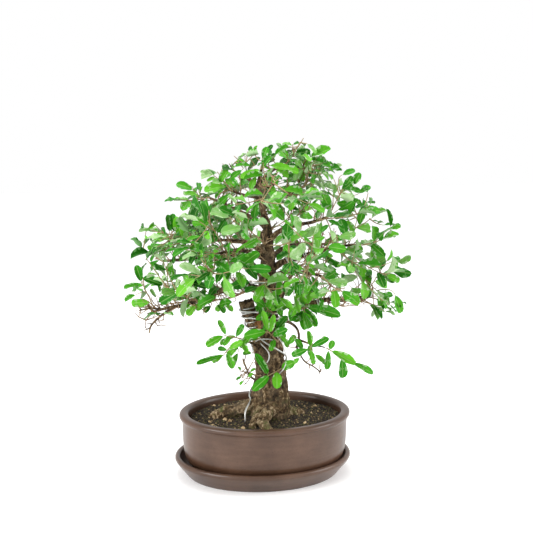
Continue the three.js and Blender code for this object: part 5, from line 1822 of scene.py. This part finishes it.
def spray_tree():
    tree, given = new_tree("leafy spray")
    stems = finished(tree, path_tubes(tree, given["Geometry"], STEM_SIDES), STEM)
    lengthwise = add(tree, "FunctionNodeAxesToRotation", {
        "Primary Axis": named(tree, "ahead", "FLOAT_VECTOR"),
        "Secondary Axis": named(tree, "face", "FLOAT_VECTOR")},
        primary_axis="Y", secondary_axis="Z").outputs[0]
    leaves = add(tree, "GeometryNodeInstanceOnPoints", {
        "Points": given["Geometry"], "Selection": named(tree, "is_leaf", "BOOLEAN"),
        "Instance": each_shape(tree, leaf_box), "Pick Instance": True,
        "Instance Index": named(tree, "shape", "INT"), "Rotation": lengthwise,
        "Scale": named(tree, "size", "FLOAT_VECTOR")}).outputs[0]
    leaves = finished(tree, leaves, LEAF)
    join = add(tree, "GeometryNodeJoinGeometry")
    tree.links.new(stems, join.inputs[0])
    tree.links.new(leaves, join.inputs[0])
    add(tree, "NodeGroupOutput", {0: join.outputs[0]})
    return tree


LEAFY = spray_tree()


def soft_twig(twig, steps=9):
    """The twig with its elbow eased into a bend, and its root in the bark"""
    t = np.linspace(0, twig.end, steps)
    outer = np.where(t < 0.25, 0, np.where(t < 0.75, (t - 0.25) ** 2, t - 0.5))
    path = (twig.root + twig.heading * twig.length * t[:, None]
            + twig.bend * twig.length * outer[:, None])
    path[0] = path[0] - twig.heading * 1.6
    return path


def spray_carrier(spray):
    """Stems as edges, and each leaf as a loose point that holds its heading, face and size"""
    draw = seeded_draws(70 + len(spray.leaves) + sum(map(ord, spray.owner)))
    stems = [placed(soft_twig(twig)) for twig in spray.twigs]
    stalks = [placed(stalk) for stalk in spray.stalks]
    radii = [np.linspace(*STEM_RADII, len(path)) * MM for path in stems]
    radii += [np.linspace(*STALK_RADII, len(path)) * MM for path in stalks]
    roots = placed([leaf.root for leaf in spray.leaves])
    mesh = path_mesh(stems + stalks, radii, roots)
    bare = len(mesh.vertices) - len(roots)
    pad = np.zeros((bare, 3))
    set_attribute(mesh, "is_leaf", "BOOLEAN", [False] * bare + [True] * len(roots))
    for name, vectors in (
            ("ahead", turned([leaf.heading for leaf in spray.leaves])),
            ("face", turned([leaf.face for leaf in spray.leaves])),
            ("size", [(leaf.width * MM, leaf.length * MM, leaf.length * MM)
                      for leaf in spray.leaves])):
        set_attribute(mesh, name, "FLOAT_VECTOR", np.vstack((pad, vectors)))
    shapes = [int(draw() * len(LEAF_SHAPES)) for _ in spray.leaves]
    set_attribute(mesh, "shape", "INT", [0] * bare + shapes)
    limits = TONE_RANGES["shoot" if spray.owner.startswith("shoot") else "crown"]
    tones = [between(limits, draw()) for _ in spray.leaves]
    set_attribute(mesh, "tone", "FLOAT", [0.5] * bare + tones)
    return mesh


def spray_piece(spray, *nodes):
    """The spray as a piece, without the attributes that only the tree needs"""
    mesh = run_tree(LEAFY, spray.owner, spray_carrier(spray))
    for name in ("is_leaf", "ahead", "face", "size", "shape", "thick"):
        if name in mesh.attributes:
            mesh.attributes.remove(mesh.attributes[name])
    return new_piece(spray.owner + "_leafy", mesh, None, "foliage", *nodes)


leafy = [spray_piece(spray, spray.owner) for spray in SPRAYS]
print("foliage:", sum(len(piece.data.polygons) for piece in leafy), "faces")

# %% The side twigs, in pieces by their bearing round the trunk
FILL_SECTORS = 8


def sector_of(twig):
    x, y, _ = twig.root + twig.heading * twig.length - CROWN_CENTRE
    return int((math.atan2(y, x) / TURN % 1) * FILL_SECTORS)


pieces = []
for sector in range(FILL_SECTORS):
    within = [one for one in FILLING if sector_of(one.twigs[0]) == sector]
    twigs = [twig for one in within for twig in one.twigs]
    leaves = [leaf for one in within for leaf in one.leaves]
    pieces.append(spray_piece(new_spray(f"side_twigs_{sector + 1}", twigs, leaves)))
pieces += [spray_piece(NEAR_SHOOTS), spray_piece(new_spray("tips", [], TIP_LEAVES))]
print("side twigs, hand-set leaves and tips:", [len(one.data.polygons) for one in pieces], "faces")

# %% [markdown]
# The bare twigs are round tubes too, so the wires' tree makes them, with few sides. Their bark
# runs from nearly black to straw, twig by twig, from one slow noise.

# %% Bare twigs
BARE_SIDES = 5
BARE_TIP_RADIUS = 0.25
BARE = noisy_finish("bare twig bark", 0.75, (45, 4, 0.7), [
    (0.3, (0.04, 0.02, 0.01)), (0.42, (0.15, 0.085, 0.042)), (0.56, (0.32, 0.21, 0.12)),
    (0.72, (0.55, 0.42, 0.28))], grain=(800, 2, 0.4, 0.0005), specular=0.2)
bare_radii = [np.linspace(radius, BARE_TIP_RADIUS, len(path)) * MM
              for path, radius in BARE_TWIGS]
bare_carrier = path_mesh([placed(path) for path, _ in BARE_TWIGS], bare_radii)
bare_mesh = run_tree(TUBES, "bare_twigs", bare_carrier, Sides=BARE_SIDES, Finish=BARE)
new_piece("bare_twigs", bare_mesh, BARE, "bark")
print("bare twigs:", len(bare_mesh.polygons), "faces")

# %% [markdown]
# ## Soil
# Bonsai soil is a mix of small hard grains, so it shows as thousands of crumbs with dark gaps
# between them. Under them lies a dark bed in the shape of the packed soil, with the same waves on
# top, a little noise, and room for the grains.

# %% Soil top and body
SOIL_RINGS = 34
SOIL_SEGMENTS = 96
SOIL_HALF = (110, 85)
SOIL_EDGE = 15.6
SOIL_REACH = 83
SOIL_SINK = 0.8


def soil_height(x, y):
    """The packed soil's top"""
    reach = np.hypot(x / SOIL_HALF[0], y / SOIL_HALF[1])
    lumps = 0.8 * np.sin(x * 0.11 + 1.3) * np.cos(y * 0.13)
    furrows = 0.6 * np.sin((x - 2 * y) * 0.06)
    mound = 4 * np.exp(-5 * reach * reach) - 1.4 * reach * reach
    return SOIL_LEVEL + lumps + furrows + mound


def soil_ring(k):
    """A ring of the soil's top; the first lies at the pot's wall"""
    ring = oval(POT, SOIL_EDGE + SOIL_REACH * k / SOIL_RINGS, 0.0, SOIL_SEGMENTS)
    ring[:, 2] = soil_height(ring[:, 0], ring[:, 1])
    ring[:, 2] += 0.7 * lattice_noise(ring, 5, 11) - SOIL_SINK
    return ring


SOIL = noisy_finish("dark soil", 0.95, (600, 4, 0.7), [
    (0.3, (0.008, 0.006, 0.004)), (0.7, (0.05, 0.035, 0.022))], grain=(0.8, 0.001))
top_rings = [soil_ring(k) for k in range(SOIL_RINGS)]
bottom_rings = [oval(POT, inset, z, SOIL_SEGMENTS)
                for inset, z in ((31, POT.floor + FIT_GAP), (18, 28.4))]
soil_mesh = new_mesh("soil", np.vstack(bottom_rings + top_rings) * MM,
                     ring_faces(len(bottom_rings) + len(top_rings), SOIL_SEGMENTS))
new_piece("soil_bed", soil_mesh, SOIL, "soil", "soil")
print("soil bed:", len(soil_mesh.polygons), "faces")

# %% [markdown]
# Most grains are one to three millimetres wide and nearly black when damp, and some larger chips
# are tan. One Geometry Nodes tree scatters them: it turns and sizes a crumb on random points.

# %% Soil grains
GRAINS_PER_M2 = 260000
GRAIN_SIZES = (0.6, 1.7)
CHIPS_PER_M2 = 800
CHIP_SIZES = (1.2, 3.8)


def grain_shape(name, seed, squash):
    """A crumb: a twenty-sided ball, pushed out of round"""
    golden = (1 + 5 ** 0.5) / 2
    points = np.array([(-1, golden, 0), (1, golden, 0), (-1, -golden, 0), (1, -golden, 0),
                       (0, -1, golden), (0, 1, golden), (0, -1, -golden), (0, 1, -golden),
                       (golden, 0, -1), (golden, 0, 1), (-golden, 0, -1), (-golden, 0, 1)])
    points = unit(points) * (1 + 0.28 * lattice_noise(points, 0.9, seed))[:, None]
    faces = [(0, 11, 5), (0, 5, 1), (0, 1, 7), (0, 7, 10), (0, 10, 11), (1, 5, 9), (5, 11, 4),
             (11, 10, 2), (10, 7, 6), (7, 1, 8), (3, 9, 4), (3, 4, 2), (3, 2, 6), (3, 6, 8),
             (3, 8, 9), (4, 9, 5), (2, 4, 11), (6, 2, 10), (8, 6, 7), (9, 8, 1)]
    return new_mesh(name, points * (1, 1, squash), faces, smooth=False)


grain_box = boxed("grain shapes", [grain_shape(f"grain_{k}", k, squash)
                                   for k, squash in enumerate((0.7, 0.85, 1.0))])


def drawn(tree, seed, kind="FLOAT", **limits):
    one = add(tree, "FunctionNodeRandomValue", {"Seed": seed, **limits}, data_type=kind)
    return socket(one.outputs, "Value")


def scatter_tree():
    """Crumbs scattered on the faces of a surface, each turned and sized by its own draw"""
    tree, given = new_tree("scattered on a surface", Density="Float", Smallest="Float",
                           Largest="Float", Seed="Int", Finish="Material")
    points = add(tree, "GeometryNodeDistributePointsOnFaces", {
        "Mesh": given["Geometry"], "Density": given["Density"], "Seed": given["Seed"]})
    spin = drawn(tree, 1, "FLOAT_VECTOR", Min=(-math.pi, -math.pi, 0),
                 Max=(math.pi, math.pi, TURN))
    size = drawn(tree, 2, Min=given["Smallest"], Max=given["Largest"])
    toned = add(tree, "GeometryNodeStoreNamedAttribute", {
        "Geometry": points.outputs[0], "Name": "tone", "Value": drawn(tree, 3)},
        data_type="FLOAT", domain="POINT").outputs[0]
    grains = add(tree, "GeometryNodeInstanceOnPoints", {
        "Points": toned, "Instance": each_shape(tree, grain_box), "Pick Instance": True,
        "Rotation": spin, "Scale": size}).outputs[0]
    add(tree, "NodeGroupOutput", {0: finished(tree, grains, given["Finish"])})
    return tree


def grain_finish():
    finish, tree, shader, place = new_finish("soil grains", 0.9)
    colour = ramp(tree, attribute(tree, "tone"), [
        (0.0, (0.006, 0.004, 0.003)), (0.4, (0.022, 0.014, 0.008)), (0.72, (0.06, 0.038, 0.018)),
        (0.9, (0.075, 0.075, 0.02)), (0.97, (0.2, 0.13, 0.06)), (1.0, (0.45, 0.32, 0.15))])
    paint(tree, shader, colour)
    bump(tree, shader, noise(tree, place, 1500, 3), 0.5, 0.0004)
    return finish


SCATTER = scatter_tree()
GRAINS = grain_finish()
# The soil's top alone, without end faces, as the surface that grains lie on
soil_top = new_mesh("soil top", np.vstack(top_rings) * MM,
                    ring_faces(SOIL_RINGS, SOIL_SEGMENTS)[:-2])


def scattered_piece(name, density, sizes, seed, finish):
    mesh = run_tree(SCATTER, name, soil_top, Density=density, Smallest=sizes[0] * MM,
                    Largest=sizes[1] * MM, Seed=seed, Finish=finish)
    new_piece(name, mesh, finish, "soil")
    print(name, len(mesh.polygons), "faces")


scattered_piece("soil_grains", GRAINS_PER_M2, GRAIN_SIZES, 5, GRAINS)

# %% Tan chips among the grains
CHIPS = noisy_finish("tan chips in the soil", 0.85, (260, 3), [
    (0.3, (0.2, 0.12, 0.05)), (0.5, (0.42, 0.29, 0.15)), (0.7, (0.6, 0.46, 0.28))],
    grain=(900, 3, 0.5, 0.0005))
scattered_piece("soil_chips", CHIPS_PER_M2, CHIP_SIZES, 11, CHIPS)

# %% [markdown]
# ## Netting over the drain holes
# Squares of black plastic net keep the soil in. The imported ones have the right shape, so they
# stay, and only get their finish.

# %% Netting
NETTING = noisy_finish("black plastic netting", 0.5, (400, 2), [
    (0.3, 0.012), (0.7, 0.03)])
for name in ("drainage_net_left", "drainage_net_right"):
    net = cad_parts[name]
    net.data.materials.clear()
    net.data.materials.append(NETTING)

# %% [markdown]
# ## Floor and light
# A white floor and a white room, as in a product photograph. Two large soft lights stand left
# and right, which gives the pot its two pale flanks, and one hangs overhead.

# %% Stage
FLOOR_HALF = 4.0
FLOOR_GLOW = 0.16
LIGHT_SIZE = 0.9
LIGHT_AIM = (0, 0, 0.25)
ROOM_STRENGTH = 1.0
LIGHTS = [("left softbox", (-1.5, -0.8, 0.8), 26), ("right softbox", (1.6, -0.6, 0.8), 18),
          ("top softbox", (0.0, 0.1, 1.7), 18)]

finish, tree, shader, place = new_finish("white floor", 0.7)
tint = noise(tree, place, 3, 2)
paint(tree, shader, ramp(tree, tint, [(0.0, 0.86), (1.0, 0.88)]))
shader.inputs["Emission Color"].default_value = (1, 1, 1, 1)
shader.inputs["Emission Strength"].default_value = FLOOR_GLOW
corners = [(x * FLOOR_HALF, y * FLOOR_HALF, 0) for x, y in SQUARE]
floor = bpy.data.objects.new("floor", new_mesh("floor", corners, [(0, 1, 2, 3)], False))
floor.data.materials.append(finish)
bpy.context.scene.collection.objects.link(floor)

for name, place, power in LIGHTS:
    lamp = bpy.data.lights.new(name, "AREA")
    lamp.shape = "SQUARE"
    lamp.size = LIGHT_SIZE
    lamp.energy = power
    light = bpy.data.objects.new(name, lamp)
    light.location = place
    way = Vector(LIGHT_AIM) - Vector(place)
    light.rotation_euler = way.to_track_quat("-Z", "Y").to_euler()
    bpy.context.scene.collection.objects.link(light)

world = bpy.data.worlds.new("white room")
world.use_nodes = True
background = next(one for one in world.node_tree.nodes if one.type == "BACKGROUND")
background.inputs["Color"].default_value = (1, 1, 1, 1)
background.inputs["Strength"].default_value = ROOM_STRENGTH
bpy.context.scene.world = world
bpy.context.scene.view_settings.view_transform = "Standard"
print("floor,", len(LIGHTS), "soft lights and a white room")
